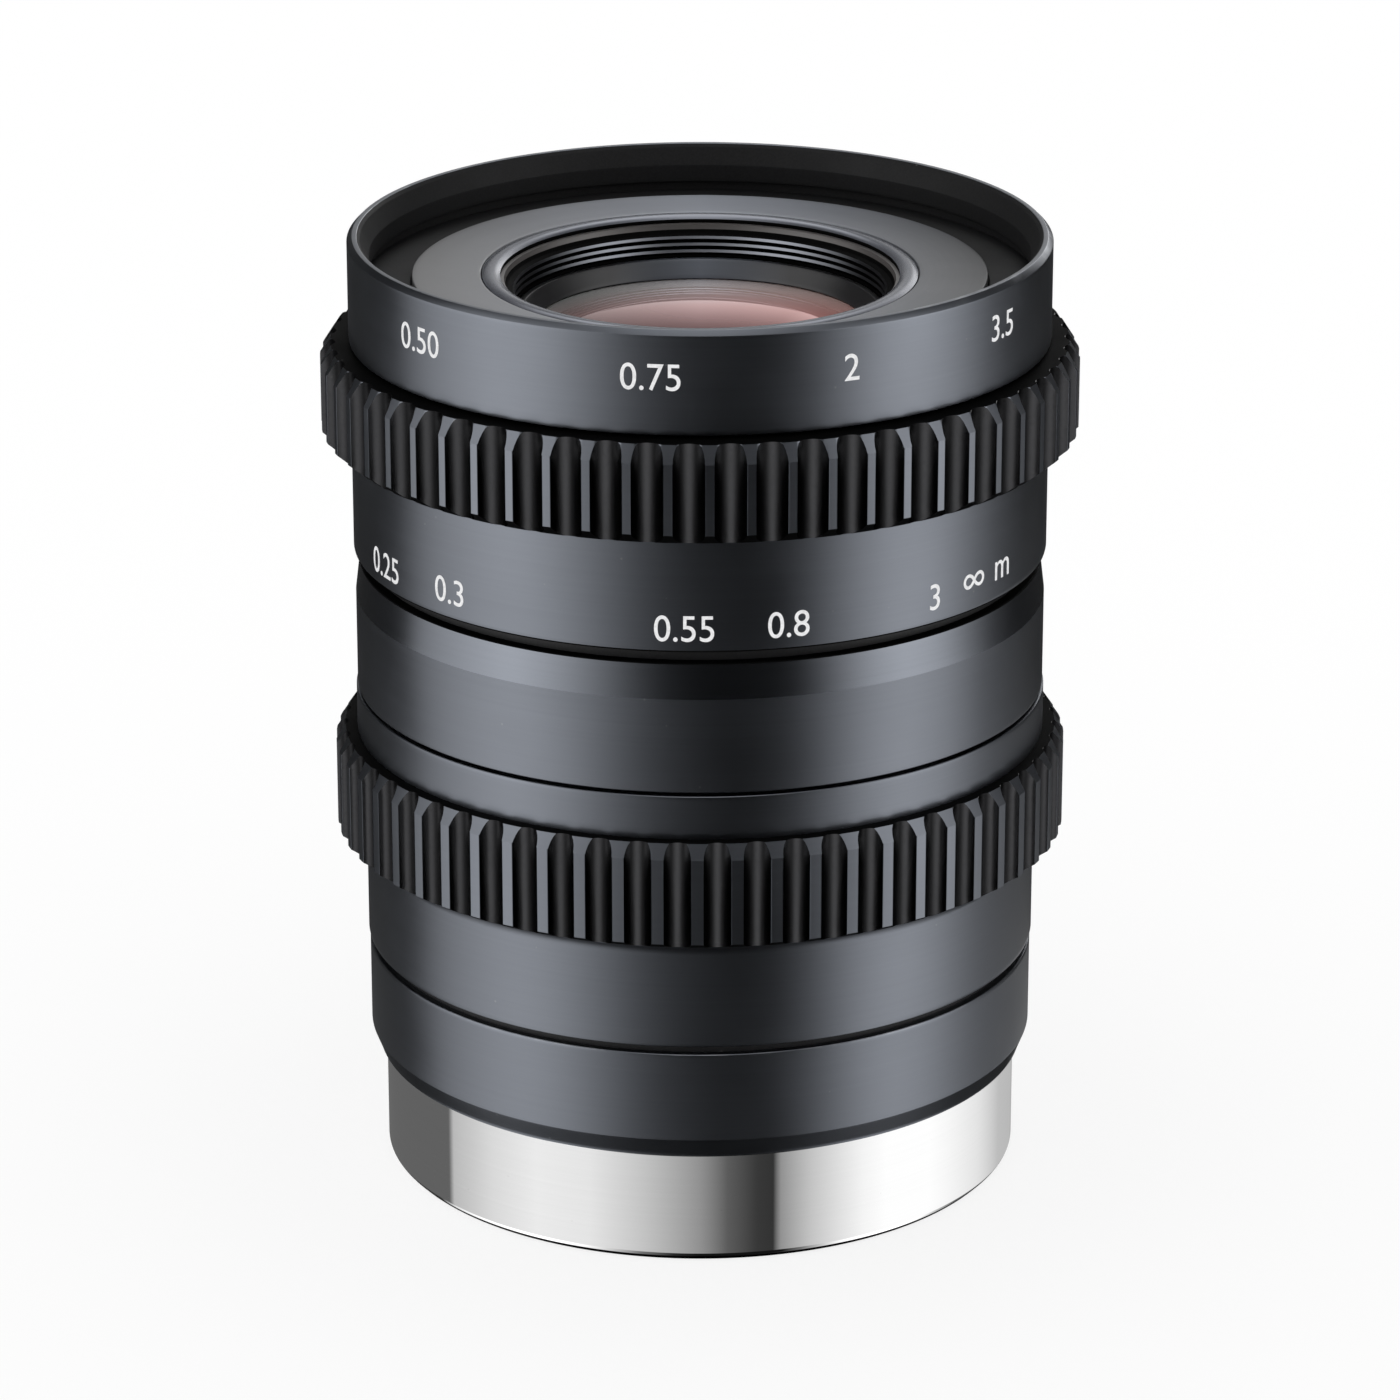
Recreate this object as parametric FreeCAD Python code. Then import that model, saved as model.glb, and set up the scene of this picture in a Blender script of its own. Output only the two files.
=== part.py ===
import FreeCAD, Part
import math
import os

# Machine vision lens. Millimetres, optical axis on Z with the front glass up, and the origin at
# the centre of the mount's seating face. Azimuths are in degrees from +X towards +Y.

V = FreeCAD.Vector
CENTRE = V(0, 0, 0)
UP = V(0, 0, 1)

# Clearances
ring_clearance = 0.08
slide_clearance = 0.08
thread_clearance = 0.04
pin_clearance = 0.04
hole_clearance = 0.01
washer_clearance = 0.04
glass_clearance = 0.02
touch_clearance = 0.01

# Threaded mount
mount_thread_radius = 25.4 / 2
mount_thread_length = 4.6
mount_wall = 1.5
mount_neck_length = 2.5
mount_edge_chamfer = 0.2
mount_shoulder_height = 0.3
mount_shoulder_inset = 0.2

# Turning and sliding stack, from the sliding tube outwards
optical_barrel_inset = 0.9
optical_barrel_wall = 1.4
optical_barrel_step = 0.25
main_tube_wall = 0.77
rear_barrel_wall = 0.65
iris_band_wall = 0.62
iris_collar_wall = 0.92
iris_band_flare = 0.12
middle_band_wall = 0.95
focus_band_wall = 0.92
mount_neck_wall = 0.88

# Lengths up the outside
rear_barrel_length = 4.39
rear_barrel_chamfer_width = 0.3
rear_barrel_chamfer_height = 0.75
rear_barrel_lip = 0.05
iris_washer_gap = 0.33
iris_band_length = 4.43
iris_grip_length = 4.25
iris_collar_length = 1.72
parting_gap = 0.12
middle_band_length = 5.15
middle_cone_length = 1.4
middle_cone_drop = 0.17
focus_washer_gap = 0.5
iris_washer_width = 0.31
focus_washer_width = 0.36
focus_band_length = 4.51
focus_grip_length = 3.85
front_gap = 0.13
front_barrel_length = 4.02
edge_break = 0.08

# Fluted grips
flute_count = 60
focus_grip_height = 1.17
focus_flute_width = 1.08
focus_flute_depth = 0.62
focus_flute_azimuth = -85.6
focus_chamfer_top = 0.42
focus_chamfer_bottom = 0.45
iris_grip_height = 0.85
iris_flute_width = 1.04
iris_flute_depth = 0.5
iris_flute_azimuth = -87.4
iris_chamfer = 0.4

# Front recess
front_bore_overhang = 1.05
front_wall = 0.85
front_bore_depth = 1.9
front_taper_depth = 0.8
front_relief_width = 0.25
front_relief_margin = 0.04
front_taper_width = 0.34
front_inner_chamfer = 0.13
front_outer_chamfer = 0.2

# Flat ring and front cell
name_ring_inset = 0.6
name_ring_thickness = 1.8
name_ring_proud = 0.3
bead_rise = 0.06
bead_shoulder = 0.1
bead_width = 0.89
bead_crown = 0.34
bead_drop = 0.38
cell_thread_margin = 0.22
cell_thread_depth = 0.25
cell_thread_pitch = 0.28
cell_thread_count = 3
cell_thread_lead_in = 0.25
cell_mouth_step = 0.12

# Front glass and its pair
glass_edge_depth = 3.8
front_cell_wall = 3.34
front_glass_cover = 0.55
front_retainer_height = 0.7
front_retainer_opening = 0.48
element_1_front_curve = 26.0
element_1_rear_curve = 60.0
element_1_thickness = 2.5
element_2_step = 0.4
element_2_front_curve = 14.0
element_2_thickness = 3.3
element_3_thickness = 1.0
element_3_rear_curve = 8.8
element_3_land = 1.2
front_air_gap = 0.7
front_spacer_wall = 0.68
front_spacer_step = 0.35
front_pair_land = 0.9
front_cell_floor = 0.45

# Iris
blade_count = 6
blade_thickness = 0.12
blade_pitch = 0.25
blade_gap = 0.1
blade_cover = 1.25
blade_width = 3.05
blade_arc_degrees = 140.0
blade_swing = 27.8
blade_first_azimuth = 20.0
blade_pin_radius = 0.22
blade_boss_radius = 0.42
blade_shoulder_radius = 0.6
blade_pivot_inset = 0.65
drive_pin_offset = 0.35
drive_pin_azimuth = 9.0
iris_turn = 40.0
aperture_inset = 0.25
iris_plate_thickness = 0.6
iris_spacer_height = 0.5
iris_spacer_width = 1.1
cam_ring_thickness = 0.6
cam_ring_width = 3.49
cam_ring_clearance = 0.06
cam_ring_float = 0.05
cam_slot_samples = 9

# Iris drive
iris_pin_radius = 0.5
iris_pin_azimuth = 70.0
iris_pin_engagement = 1.1
fork_thickness = 0.7
fork_inset = 0.2
fork_width = 2.6
fork_end_margin = 0.6
fork_screw_radius = 0.2
fork_screw_head_radius = 0.32
fork_screw_head_height = 0.15
fork_screw_depth = 1.2
fork_screw_spacing = 1.4

# Focus drive
focus_turn = 118.5
focus_travel = 2.78
follower_count = 3
follower_radius = 0.6
follower_thread_radius = 0.75
follower_azimuth = 30.0
follower_height = 3.3
groove_depth = 0.52
snap_ring_height = 0.45
snap_ring_width = 0.82
snap_ring_bite = 0.3
snap_ring_opening = 3.0
snap_ring_recess = 0.75

# Rear glass
rear_cell_neck_clearance = 0.1
rear_cell_flange_width = 0.55
rear_cell_wall = 2.49
rear_cell_flange_height = 0.8
fork_foot_clearance = 0.4
rear_nose_length = 6.6
optical_barrel_foot = 3.4
stop_retainer_height = 0.6
stop_retainer_width = 1.1
rear_pair_step = 1.2
element_4_front_curve = 9.5
element_4_land = 1.4
element_4_thickness = 0.9
element_5_thickness = 3.08
element_5_rear_curve = 12.0
rear_pair_thread = 0.45
rear_seat_width = 0.5
rear_air_gap = 0.3
element_6_thickness = 3.0
element_6_curve = 25.0
rear_spacer_wall = 0.48
rear_spacer_length = 9.32
element_7_thickness = 2.2
element_7_front_curve = 20.0
element_7_rear_curve = 50.0
rear_retainer_height = 0.7
rear_retainer_width = 0.8
rear_retainer_slot_width = 1.0
rear_retainer_slot_depth = 0.35
rear_mouth_chamfer = 0.5

# Radii that follow
optical_barrel_radius = mount_thread_radius - optical_barrel_inset
main_tube_bore = optical_barrel_radius + slide_clearance
main_tube_radius = main_tube_bore + main_tube_wall
ring_bore = main_tube_radius + ring_clearance
rear_barrel_radius = main_tube_radius + rear_barrel_wall
iris_band_radius = ring_bore + iris_band_wall
iris_collar_radius = ring_bore + iris_collar_wall
iris_grip_radius = iris_collar_radius + iris_grip_height
middle_band_radius = main_tube_radius + middle_band_wall
focus_band_radius = ring_bore + focus_band_wall
focus_grip_radius = focus_band_radius + focus_grip_height
front_bore_radius = optical_barrel_radius + front_bore_overhang
front_barrel_radius = front_bore_radius + front_wall
name_ring_radius = optical_barrel_radius - name_ring_inset
mount_bore = mount_thread_radius - mount_wall
mount_neck_radius = mount_bore + mount_neck_wall
upper_bore = optical_barrel_radius - optical_barrel_wall
lower_bore = upper_bore - optical_barrel_step
front_cell_radius = upper_bore - thread_clearance
element_1_radius = front_cell_radius - front_cell_wall - glass_clearance
element_2_radius = element_1_radius - element_2_step
element_3_hollow_radius = element_2_radius - element_3_land
front_clear_radius = element_1_radius - front_glass_cover
front_cell_aperture = element_2_radius - front_pair_land
cell_thread_crest = element_1_radius + cell_thread_margin
cell_thread_root = cell_thread_crest + cell_thread_depth
bead_edge_radius = cell_thread_root + cell_mouth_step
cell_collar_radius = bead_edge_radius + bead_width
rear_cell_radius = lower_bore - thread_clearance
rear_cell_flange_radius = lower_bore + rear_cell_flange_width
element_6_radius = rear_cell_radius - rear_cell_wall - glass_clearance
element_4_radius = element_6_radius - rear_pair_step
element_4_hollow_radius = element_4_radius - element_4_land
rear_seat_radius = element_4_radius - rear_seat_width
cam_ring_radius = lower_bore - cam_ring_clearance
cam_ring_bore = cam_ring_radius - cam_ring_width
blade_open_radius = cam_ring_bore - blade_cover
blade_outer_radius = blade_open_radius + blade_width
aperture_radius = blade_open_radius - aperture_inset
pivot_circle = lower_bore - blade_pivot_inset
drive_pin_circle = blade_outer_radius + drive_pin_offset
fork_outer = cam_ring_radius - fork_inset
fork_inner = fork_outer - fork_thickness
rear_cell_neck = fork_inner - rear_cell_neck_clearance

# Heights that follow
iris_ring_z = rear_barrel_length + iris_washer_gap
iris_grip_z = iris_ring_z + iris_band_length
iris_collar_z = iris_grip_z + iris_grip_length
iris_ring_top = iris_collar_z + iris_collar_length
middle_band_z = iris_ring_top + parting_gap
middle_band_top = middle_band_z + middle_band_length
focus_ring_z = middle_band_top + focus_washer_gap
focus_grip_z = focus_ring_z + focus_band_length
focus_ring_top = focus_grip_z + focus_grip_length
front_barrel_z = focus_ring_top + front_gap
front_rim_z = front_barrel_z + front_barrel_length
recess_floor_z = front_rim_z - front_bore_depth
name_ring_top = recess_floor_z + name_ring_proud
name_ring_z = name_ring_top - name_ring_thickness
glass_edge_z = front_rim_z - glass_edge_depth
snap_ring_z = focus_ring_top - snap_ring_recess + washer_clearance
main_tube_foot = mount_neck_length + ring_clearance
iris_pin_z = iris_grip_z + iris_grip_length / 2
follower_z = focus_ring_z + follower_height
fork_foot_z = iris_pin_z - focus_travel - iris_pin_radius - fork_end_margin


def sag(curve, radius):
    """Height of a spherical surface at a radius, below its crown."""
    return curve - math.sqrt(curve * curve - radius * radius)


# Glass heights, from the front glass down
element_1_front = glass_edge_z + sag(element_1_front_curve, front_clear_radius)
element_1_rear = element_1_front - element_1_thickness
element_1_top_edge = element_1_front - sag(element_1_front_curve, element_1_radius)
element_2_front = element_1_rear - front_air_gap
element_2_rear = element_2_front - element_2_thickness
element_3_rear = element_2_rear - element_3_thickness
element_3_foot = element_3_rear - sag(element_3_rear_curve, element_3_hollow_radius)
front_cell_foot = element_3_foot - front_cell_floor
iris_plate_top = front_cell_foot - iris_spacer_height
iris_plate_z = iris_plate_top - iris_plate_thickness
blade_stack = blade_thickness + (blade_count - 1) * blade_pitch
cam_ring_top = iris_plate_z - blade_gap - blade_stack - blade_gap
cam_ring_z = cam_ring_top - cam_ring_thickness
rear_cell_top = cam_ring_z - cam_ring_float
element_4_rim = rear_cell_top - stop_retainer_height - touch_clearance
element_4_front = element_4_rim - sag(element_4_front_curve, element_4_hollow_radius)
element_4_rear = element_4_front - element_4_thickness
element_5_rear = element_4_rear - element_5_thickness
element_6_front = element_5_rear - rear_air_gap
element_6_rear = element_6_front - element_6_thickness
rear_seat_top = element_5_rear + sag(element_5_rear_curve, rear_seat_radius) - touch_clearance
rear_seat_foot = element_6_front - sag(element_6_curve, rear_seat_radius) + touch_clearance
rear_spacer_radius = element_6_radius - glass_clearance
rear_spacer_bore = rear_spacer_radius - rear_spacer_wall
rear_spacer_top = element_6_rear + sag(element_6_curve, rear_spacer_bore) - touch_clearance
rear_spacer_foot = rear_spacer_top - rear_spacer_length
element_7_front = rear_spacer_foot + sag(element_7_front_curve, rear_spacer_bore) - touch_clearance
element_7_rear = element_7_front - element_7_thickness
element_7_foot = element_7_rear - sag(element_7_rear_curve, element_6_radius)
rear_retainer_top = element_7_foot - touch_clearance
rear_nose_z = optical_barrel_foot - rear_nose_length


def turned(*stops):
    """Solid turned about the axis from a closed outline of (radius, height) stops.

    A stop that is a pair of such points is an arc through the first to the second.
    """
    edges = []
    start = V(stops[0][0], 0, stops[0][1])
    last = start
    for stop in stops[1:] + (stops[0],):
        if isinstance(stop[0], tuple):
            middle = V(stop[0][0], 0, stop[0][1])
            end = V(stop[1][0], 0, stop[1][1])
            edges.append(Part.Arc(last, middle, end).toShape())
        else:
            end = V(stop[0], 0, stop[1])
            edges.append(Part.makeLine(last, end))
        last = end
    face = Part.Face(Part.Wire(edges))
    return face.revolve(CENTRE, UP, 360)


def ring(inner, outer, bottom, top):
    """Plain ring with square edges."""
    return turned((inner, bottom), (outer, bottom), (outer, top), (inner, top))


def at_azimuth(shape, azimuth):
    """Copy of a shape turned about the axis."""
    copy = shape.copy()
    copy.rotate(CENTRE, UP, azimuth)
    return copy


def around(shape, count, first=0.0):
    """Compound of copies spaced evenly about the axis."""
    step = 360.0 / count
    return Part.makeCompound([at_azimuth(shape, first + i * step) for i in range(count)])


def radial_pin(radius, inner, outer, height):
    """Round pin along +X between two radii, at a height."""
    return Part.makeCylinder(radius, outer - inner, V(inner, 0, height), V(1, 0, 0))


def radial_slot(half_width, inner, outer, bottom, top):
    """Slot tool along +X with round ends, between the centres of its ends."""
    corner = V(inner, -half_width, bottom)
    tool = Part.makeBox(outer - inner, 2 * half_width, top - bottom, corner)
    tool = tool.fuse(radial_pin(half_width, inner, outer, bottom))
    return tool.fuse(radial_pin(half_width, inner, outer, top)).removeSplitter()


def arc_slot(inner, outer, bottom, top, first, last, half_width):
    """Slot tool that runs about the axis, long enough for a pin at both azimuths."""
    margin = math.degrees(half_width / inner)
    corners = [V(inner, 0, bottom), V(outer, 0, bottom), V(outer, 0, top), V(inner, 0, top)]
    face = Part.Face(Part.makePolygon(corners + corners[:1]))
    tool = face.revolve(CENTRE, UP, last - first + 2 * margin)
    return at_azimuth(tool, first - margin)


def fluted(blank, grip_radius, width, depth, bottom, top, azimuth):
    """Blank with round-bottomed flutes that run through both ends of its grip."""
    flute_radius = (width * width / 4 + depth * depth) / (2 * depth)
    centre = grip_radius - depth + flute_radius
    tool = Part.makeCylinder(flute_radius, top - bottom, V(centre, 0, bottom))
    return blank.cut(around(tool, flute_count, azimuth))


def make_mount_ring():
    """Bright mount cylinder with the neck that the rear barrel screws onto."""
    foot = -mount_thread_length
    inside = mount_bore + mount_edge_chamfer
    outside = mount_thread_radius - mount_edge_chamfer
    shoulder = mount_thread_radius - mount_shoulder_inset
    return turned(
        (mount_bore, foot + mount_edge_chamfer),
        (inside, foot),
        (outside, foot),
        (mount_thread_radius, foot + mount_edge_chamfer),
        (mount_thread_radius, 0),
        (shoulder, 0),
        (shoulder, mount_shoulder_height),
        (mount_neck_radius, mount_shoulder_height),
        (mount_neck_radius, mount_neck_length),
        (mount_bore, mount_neck_length),
    )


def make_rear_barrel():
    """Black barrel behind the iris ring. Its foot, round the mount cylinder, is the seating face."""
    shoulder_bore = mount_thread_radius + thread_clearance
    neck_bore = mount_neck_radius + thread_clearance
    tube_bore = main_tube_radius + thread_clearance
    seat = rear_barrel_radius - rear_barrel_chamfer_width
    return turned(
        (shoulder_bore, 0),
        (seat, 0),
        (seat, rear_barrel_lip),
        (rear_barrel_radius, rear_barrel_lip + rear_barrel_chamfer_height),
        (rear_barrel_radius, rear_barrel_length - edge_break),
        (rear_barrel_radius - edge_break, rear_barrel_length),
        (tube_bore, rear_barrel_length),
        (tube_bore, main_tube_foot),
        (neck_bore, main_tube_foot),
        (neck_bore, mount_shoulder_height),
        (shoulder_bore, mount_shoulder_height),
    )


def make_main_barrel():
    """Tube with the middle band on it, three straight slots and the iris pin's slot."""
    cone_foot = middle_band_top - middle_cone_length
    cone_top = middle_band_radius - middle_cone_drop
    tube_top = focus_ring_top - washer_clearance
    snap_groove = main_tube_radius - snap_ring_bite - touch_clearance
    groove_z = snap_ring_z - touch_clearance
    groove_top = snap_ring_z + snap_ring_height + touch_clearance
    tube = turned(
        (main_tube_bore, main_tube_foot),
        (main_tube_radius, main_tube_foot),
        (main_tube_radius, middle_band_z),
        (middle_band_radius - edge_break, middle_band_z),
        (middle_band_radius, middle_band_z + edge_break),
        (middle_band_radius, cone_foot),
        (cone_top, middle_band_top),
        (main_tube_radius, middle_band_top),
        (main_tube_radius, groove_z),
        (snap_groove, groove_z),
        (snap_groove, groove_top),
        (main_tube_radius, groove_top),
        (main_tube_radius, tube_top),
        (main_tube_bore, tube_top),
    )
    straight = radial_slot(
        follower_radius + pin_clearance,
        main_tube_bore - 1,
        main_tube_radius + 1,
        follower_z - pin_clearance,
        follower_z + focus_travel + pin_clearance,
    )
    half_height = iris_pin_radius + pin_clearance
    iris_slot = arc_slot(
        main_tube_bore - 1,
        main_tube_radius + 1,
        iris_pin_z - half_height,
        iris_pin_z + half_height,
        iris_pin_azimuth,
        iris_pin_azimuth + iris_turn,
        half_height,
    )
    return tube.cut(around(straight, follower_count, follower_azimuth)).cut(iris_slot)


def make_iris_ring():
    """Iris ring: plain band, fluted grip and collar."""
    flare_z = iris_grip_z - iris_band_flare * 2
    blank = turned(
        (ring_bore, iris_ring_z),
        (iris_band_radius - edge_break, iris_ring_z),
        (iris_band_radius, iris_ring_z + edge_break),
        (iris_band_radius, flare_z - iris_band_flare * 2),
        (iris_band_radius + iris_band_flare, flare_z),
        (iris_band_radius + iris_band_flare, iris_grip_z),
        (iris_grip_radius - iris_chamfer, iris_grip_z),
        (iris_grip_radius, iris_grip_z + iris_chamfer),
        (iris_grip_radius, iris_collar_z - iris_chamfer),
        (iris_grip_radius - iris_chamfer, iris_collar_z),
        (iris_collar_radius, iris_collar_z),
        (iris_collar_radius, iris_ring_top - edge_break),
        (iris_collar_radius - edge_break, iris_ring_top),
        (ring_bore, iris_ring_top),
    )
    body = fluted(
        blank,
        iris_grip_radius,
        iris_flute_width,
        iris_flute_depth,
        iris_grip_z - edge_break,
        iris_collar_z + edge_break,
        iris_flute_azimuth,
    )
    hole_radius = iris_pin_radius + hole_clearance
    socket = radial_pin(hole_radius, ring_bore - 1, iris_pin_end(), iris_pin_z)
    return body.cut(at_azimuth(socket, iris_pin_azimuth))


def iris_pin_end():
    """Outer end of the drive pin, in its blind hole under the grip."""
    return ring_bore + iris_pin_engagement


def make_iris_drive_pin():
    """Pin that carries the iris ring's turn in to the fork."""
    inner = fork_inner + pin_clearance
    pin = radial_pin(iris_pin_radius, inner, iris_pin_end() - touch_clearance, iris_pin_z)
    return at_azimuth(pin, iris_pin_azimuth)


def make_focus_ring():
    """Focus ring: scale band, fluted grip, three helical grooves and a seat for the snap ring."""
    recess = main_tube_radius - snap_ring_bite + snap_ring_width + ring_clearance
    recess_z = focus_ring_top - snap_ring_recess
    blank = turned(
        (ring_bore, focus_ring_z),
        (focus_band_radius - edge_break, focus_ring_z),
        (focus_band_radius, focus_ring_z + edge_break),
        (focus_band_radius, focus_grip_z),
        (focus_grip_radius - focus_chamfer_bottom, focus_grip_z),
        (focus_grip_radius, focus_grip_z + focus_chamfer_bottom),
        (focus_grip_radius, focus_ring_top - focus_chamfer_top),
        (focus_grip_radius - focus_chamfer_top, focus_ring_top),
        (recess, focus_ring_top),
        (recess, recess_z),
        (ring_bore, recess_z),
    )
    body = fluted(
        blank,
        focus_grip_radius,
        focus_flute_width,
        focus_flute_depth,
        focus_grip_z - edge_break,
        focus_ring_top + edge_break,
        focus_flute_azimuth,
    )
    return body.cut(around(helical_groove(), follower_count, follower_azimuth))


def helical_groove():
    """Groove tool for a follower: it falls back about the axis as it climbs, by the focus lead."""
    half_width = follower_radius + pin_clearance
    inner = ring_bore - groove_depth / 2
    outer = ring_bore + groove_depth
    lead = focus_travel * 360.0 / focus_turn
    slope = math.atan2(lead, 2 * math.pi * ring_bore)
    overrun = half_width * math.cos(slope) / ring_bore
    turn = math.radians(focus_turn) + 2 * overrun
    rise = lead * turn / (2 * math.pi)
    start_z = follower_z - lead * overrun / (2 * math.pi)
    path = Part.makeHelix(lead, rise, ring_bore, 0, True)
    side = V(0, math.sin(slope), math.cos(slope)) * half_width
    corners = [
        V(inner, 0, 0) - side,
        V(outer, 0, 0) - side,
        V(outer, 0, 0) + side,
        V(inner, 0, 0) + side,
    ]
    section = Part.makePolygon(corners + corners[:1])
    tool = Part.Wire(path.Edges).makePipeShell([section], True, True)
    tool.translate(V(0, 0, start_z))
    return at_azimuth(tool, math.degrees(overrun))


def make_follower_pins():
    """Three shouldered pins, screwed into the sliding tube, that ride in the grooves."""
    shoulder = optical_barrel_radius - touch_clearance
    foot = upper_bore + touch_clearance
    tip = ring_bore + groove_depth - pin_clearance
    pin = radial_pin(follower_thread_radius, foot, shoulder, follower_z)
    pin = pin.fuse(radial_pin(follower_radius, shoulder, tip, follower_z))
    return around(pin, follower_count, follower_azimuth)


def make_snap_ring():
    """Open ring in the main barrel's groove, above the focus ring's seat."""
    inner = main_tube_radius - snap_ring_bite
    body = ring(inner, inner + snap_ring_width, snap_ring_z, snap_ring_z + snap_ring_height)
    opening = Part.makeBox(
        snap_ring_opening,
        2 * main_tube_radius,
        2 * snap_ring_height,
        V(-snap_ring_opening / 2, 0, snap_ring_z - snap_ring_height / 2),
    )
    return body.cut(opening)


def make_washer(bottom, gap, width):
    """Friction washer that lies on a shoulder under a turning ring."""
    inner = main_tube_radius + washer_clearance
    return ring(inner, inner + width, bottom, bottom + gap - washer_clearance)


def make_optical_barrel():
    """Sliding tube that carries the cells, with the iris pin's window."""
    tube = turned(
        (lower_bore, optical_barrel_foot),
        (optical_barrel_radius, optical_barrel_foot),
        (optical_barrel_radius, name_ring_z),
        (upper_bore, name_ring_z),
        (upper_bore, iris_plate_z),
        (lower_bore, iris_plate_z),
    )
    margin = iris_pin_radius + 2 * pin_clearance
    window = arc_slot(
        lower_bore - 1,
        optical_barrel_radius + 1,
        iris_pin_z - focus_travel - margin,
        iris_pin_z + margin,
        iris_pin_azimuth,
        iris_pin_azimuth + iris_turn,
        margin,
    )
    hole = radial_pin(
        follower_thread_radius + hole_clearance,
        upper_bore - 1,
        optical_barrel_radius + 1,
        follower_z,
    )
    return tube.cut(window).cut(around(hole, follower_count, follower_azimuth))


def make_front_barrel():
    """Front rim with its tapered recess, screwed onto the sliding tube."""
    skirt_bore = optical_barrel_radius + thread_clearance
    ledge = name_ring_radius + thread_clearance
    mouth = front_bore_radius + front_taper_width
    relief = front_bore_radius + front_relief_width
    relief_top = name_ring_top + bead_rise + front_relief_margin
    return turned(
        (skirt_bore, front_barrel_z),
        (front_barrel_radius - edge_break, front_barrel_z),
        (front_barrel_radius, front_barrel_z + edge_break),
        (front_barrel_radius, front_rim_z - front_outer_chamfer),
        (front_barrel_radius - front_outer_chamfer, front_rim_z),
        (mouth + front_inner_chamfer, front_rim_z),
        (mouth, front_rim_z - front_inner_chamfer),
        (front_bore_radius, front_rim_z - front_taper_depth),
        (front_bore_radius, relief_top),
        (relief, relief_top),
        (relief, recess_floor_z),
        (ledge, recess_floor_z),
        (ledge, name_ring_z),
        (skirt_bore, name_ring_z),
    )


def make_name_ring():
    """Flat grey ring that closes the front of the sliding tube."""
    inner = cell_collar_radius + thread_clearance
    return turned(
        (inner, name_ring_z),
        (name_ring_radius, name_ring_z),
        (name_ring_radius, name_ring_top - edge_break),
        (name_ring_radius - edge_break, name_ring_top),
        (inner + edge_break, name_ring_top),
        (inner, name_ring_top - edge_break),
    )


def thread_grooves(top):
    """Stops down the V-shaped grooves in the mouth of the front cell."""
    stops = []
    for i in range(cell_thread_count):
        crest_z = top - (i + 0.5) * cell_thread_pitch
        stops.append((cell_thread_crest, crest_z))
        stops.append((cell_thread_root, top - (i + 1) * cell_thread_pitch))
    return stops


def make_front_cell():
    """Cell of the front glass, with its bead and thread grooves in sight."""
    bead_top = name_ring_top + bead_rise
    bead_foot = bead_top - bead_drop
    thread_top = bead_foot - cell_thread_lead_in
    thread_foot = thread_top - cell_thread_count * cell_thread_pitch
    pocket_1 = element_1_radius + glass_clearance
    pocket_2 = element_2_radius + glass_clearance
    pair_edge = element_2_front - sag(element_2_front_curve, element_2_radius)
    pocket_2_top = pair_edge - front_spacer_step
    stops = [
        (front_cell_aperture, front_cell_foot),
        (front_cell_radius, front_cell_foot),
        (front_cell_radius, name_ring_z),
        (cell_collar_radius, name_ring_z),
        (cell_collar_radius, bead_top - bead_shoulder),
        ((cell_collar_radius - bead_crown, bead_top), (bead_edge_radius, bead_foot)),
        (cell_thread_root, thread_top),
    ]
    stops += thread_grooves(thread_top)
    stops += [
        (cell_thread_crest, thread_foot),
        (cell_thread_crest, element_1_top_edge),
        (pocket_1, element_1_top_edge),
        (pocket_1, pocket_2_top),
        (pocket_2, pocket_2_top),
        (pocket_2, element_3_foot),
        (front_cell_aperture, element_3_foot),
    ]
    return turned(*stops)


def make_front_retaining_ring():
    """Thin ring with a conical bore that holds the front glass."""
    outer = cell_thread_crest - thread_clearance
    bottom = glass_edge_z + touch_clearance
    top = glass_edge_z + front_retainer_height
    opening = front_clear_radius + front_retainer_opening
    return turned((front_clear_radius, bottom), (opening, top), (outer, top), (outer, bottom))


def lens(front, rear, front_curve, rear_curve, radius):
    """Turned glass between two spherical faces. A positive curve bulges upwards."""
    upper_middle, upper_edge = surface(front, front_curve, radius)
    lower_middle, lower_edge = surface(rear, rear_curve, radius)
    return turned((0, rear), (lower_middle, lower_edge), upper_edge, (upper_middle, (0, front)))


def surface(vertex, curve, radius):
    """Middle and outer point of a spherical face through a vertex on the axis."""
    sign = 1.0 if curve > 0 else -1.0
    size = abs(curve)
    middle = (radius / 2, vertex - sign * sag(size, radius / 2))
    return middle, (radius, vertex - sign * sag(size, radius))


def make_element_1():
    """Front glass, a meniscus with its bulge up."""
    return lens(
        element_1_front,
        element_1_rear,
        element_1_front_curve,
        element_1_rear_curve,
        element_1_radius,
    )


def make_element_2():
    """Bulged half of the front pair, flat where it is cemented."""
    middle, edge = surface(element_2_front, element_2_front_curve, element_2_radius)
    rim = (element_2_radius, element_2_rear)
    return turned((0, element_2_rear), rim, edge, (middle, (0, element_2_front)))


def make_element_3():
    """Hollow half of the front pair."""
    middle, edge = surface(element_3_rear, element_3_rear_curve, element_3_hollow_radius)
    return turned(
        (0, element_3_rear),
        (middle, edge),
        (element_2_radius, element_3_foot),
        (element_2_radius, element_2_rear),
        (0, element_2_rear),
    )


def make_front_spacer():
    """Ring between the front glass and the pair."""
    outer = element_1_radius - glass_clearance
    inner = outer - front_spacer_wall
    bottom = element_2_front - sag(element_2_front_curve, inner) + touch_clearance
    top = element_1_rear - sag(element_1_rear_curve, outer) - touch_clearance
    return ring(inner, outer, bottom, top)


def make_iris_spacer():
    """Ring that presses the iris plate onto its step."""
    inner = front_cell_radius - iris_spacer_width
    return ring(inner, front_cell_radius, iris_plate_top, front_cell_foot)


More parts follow.
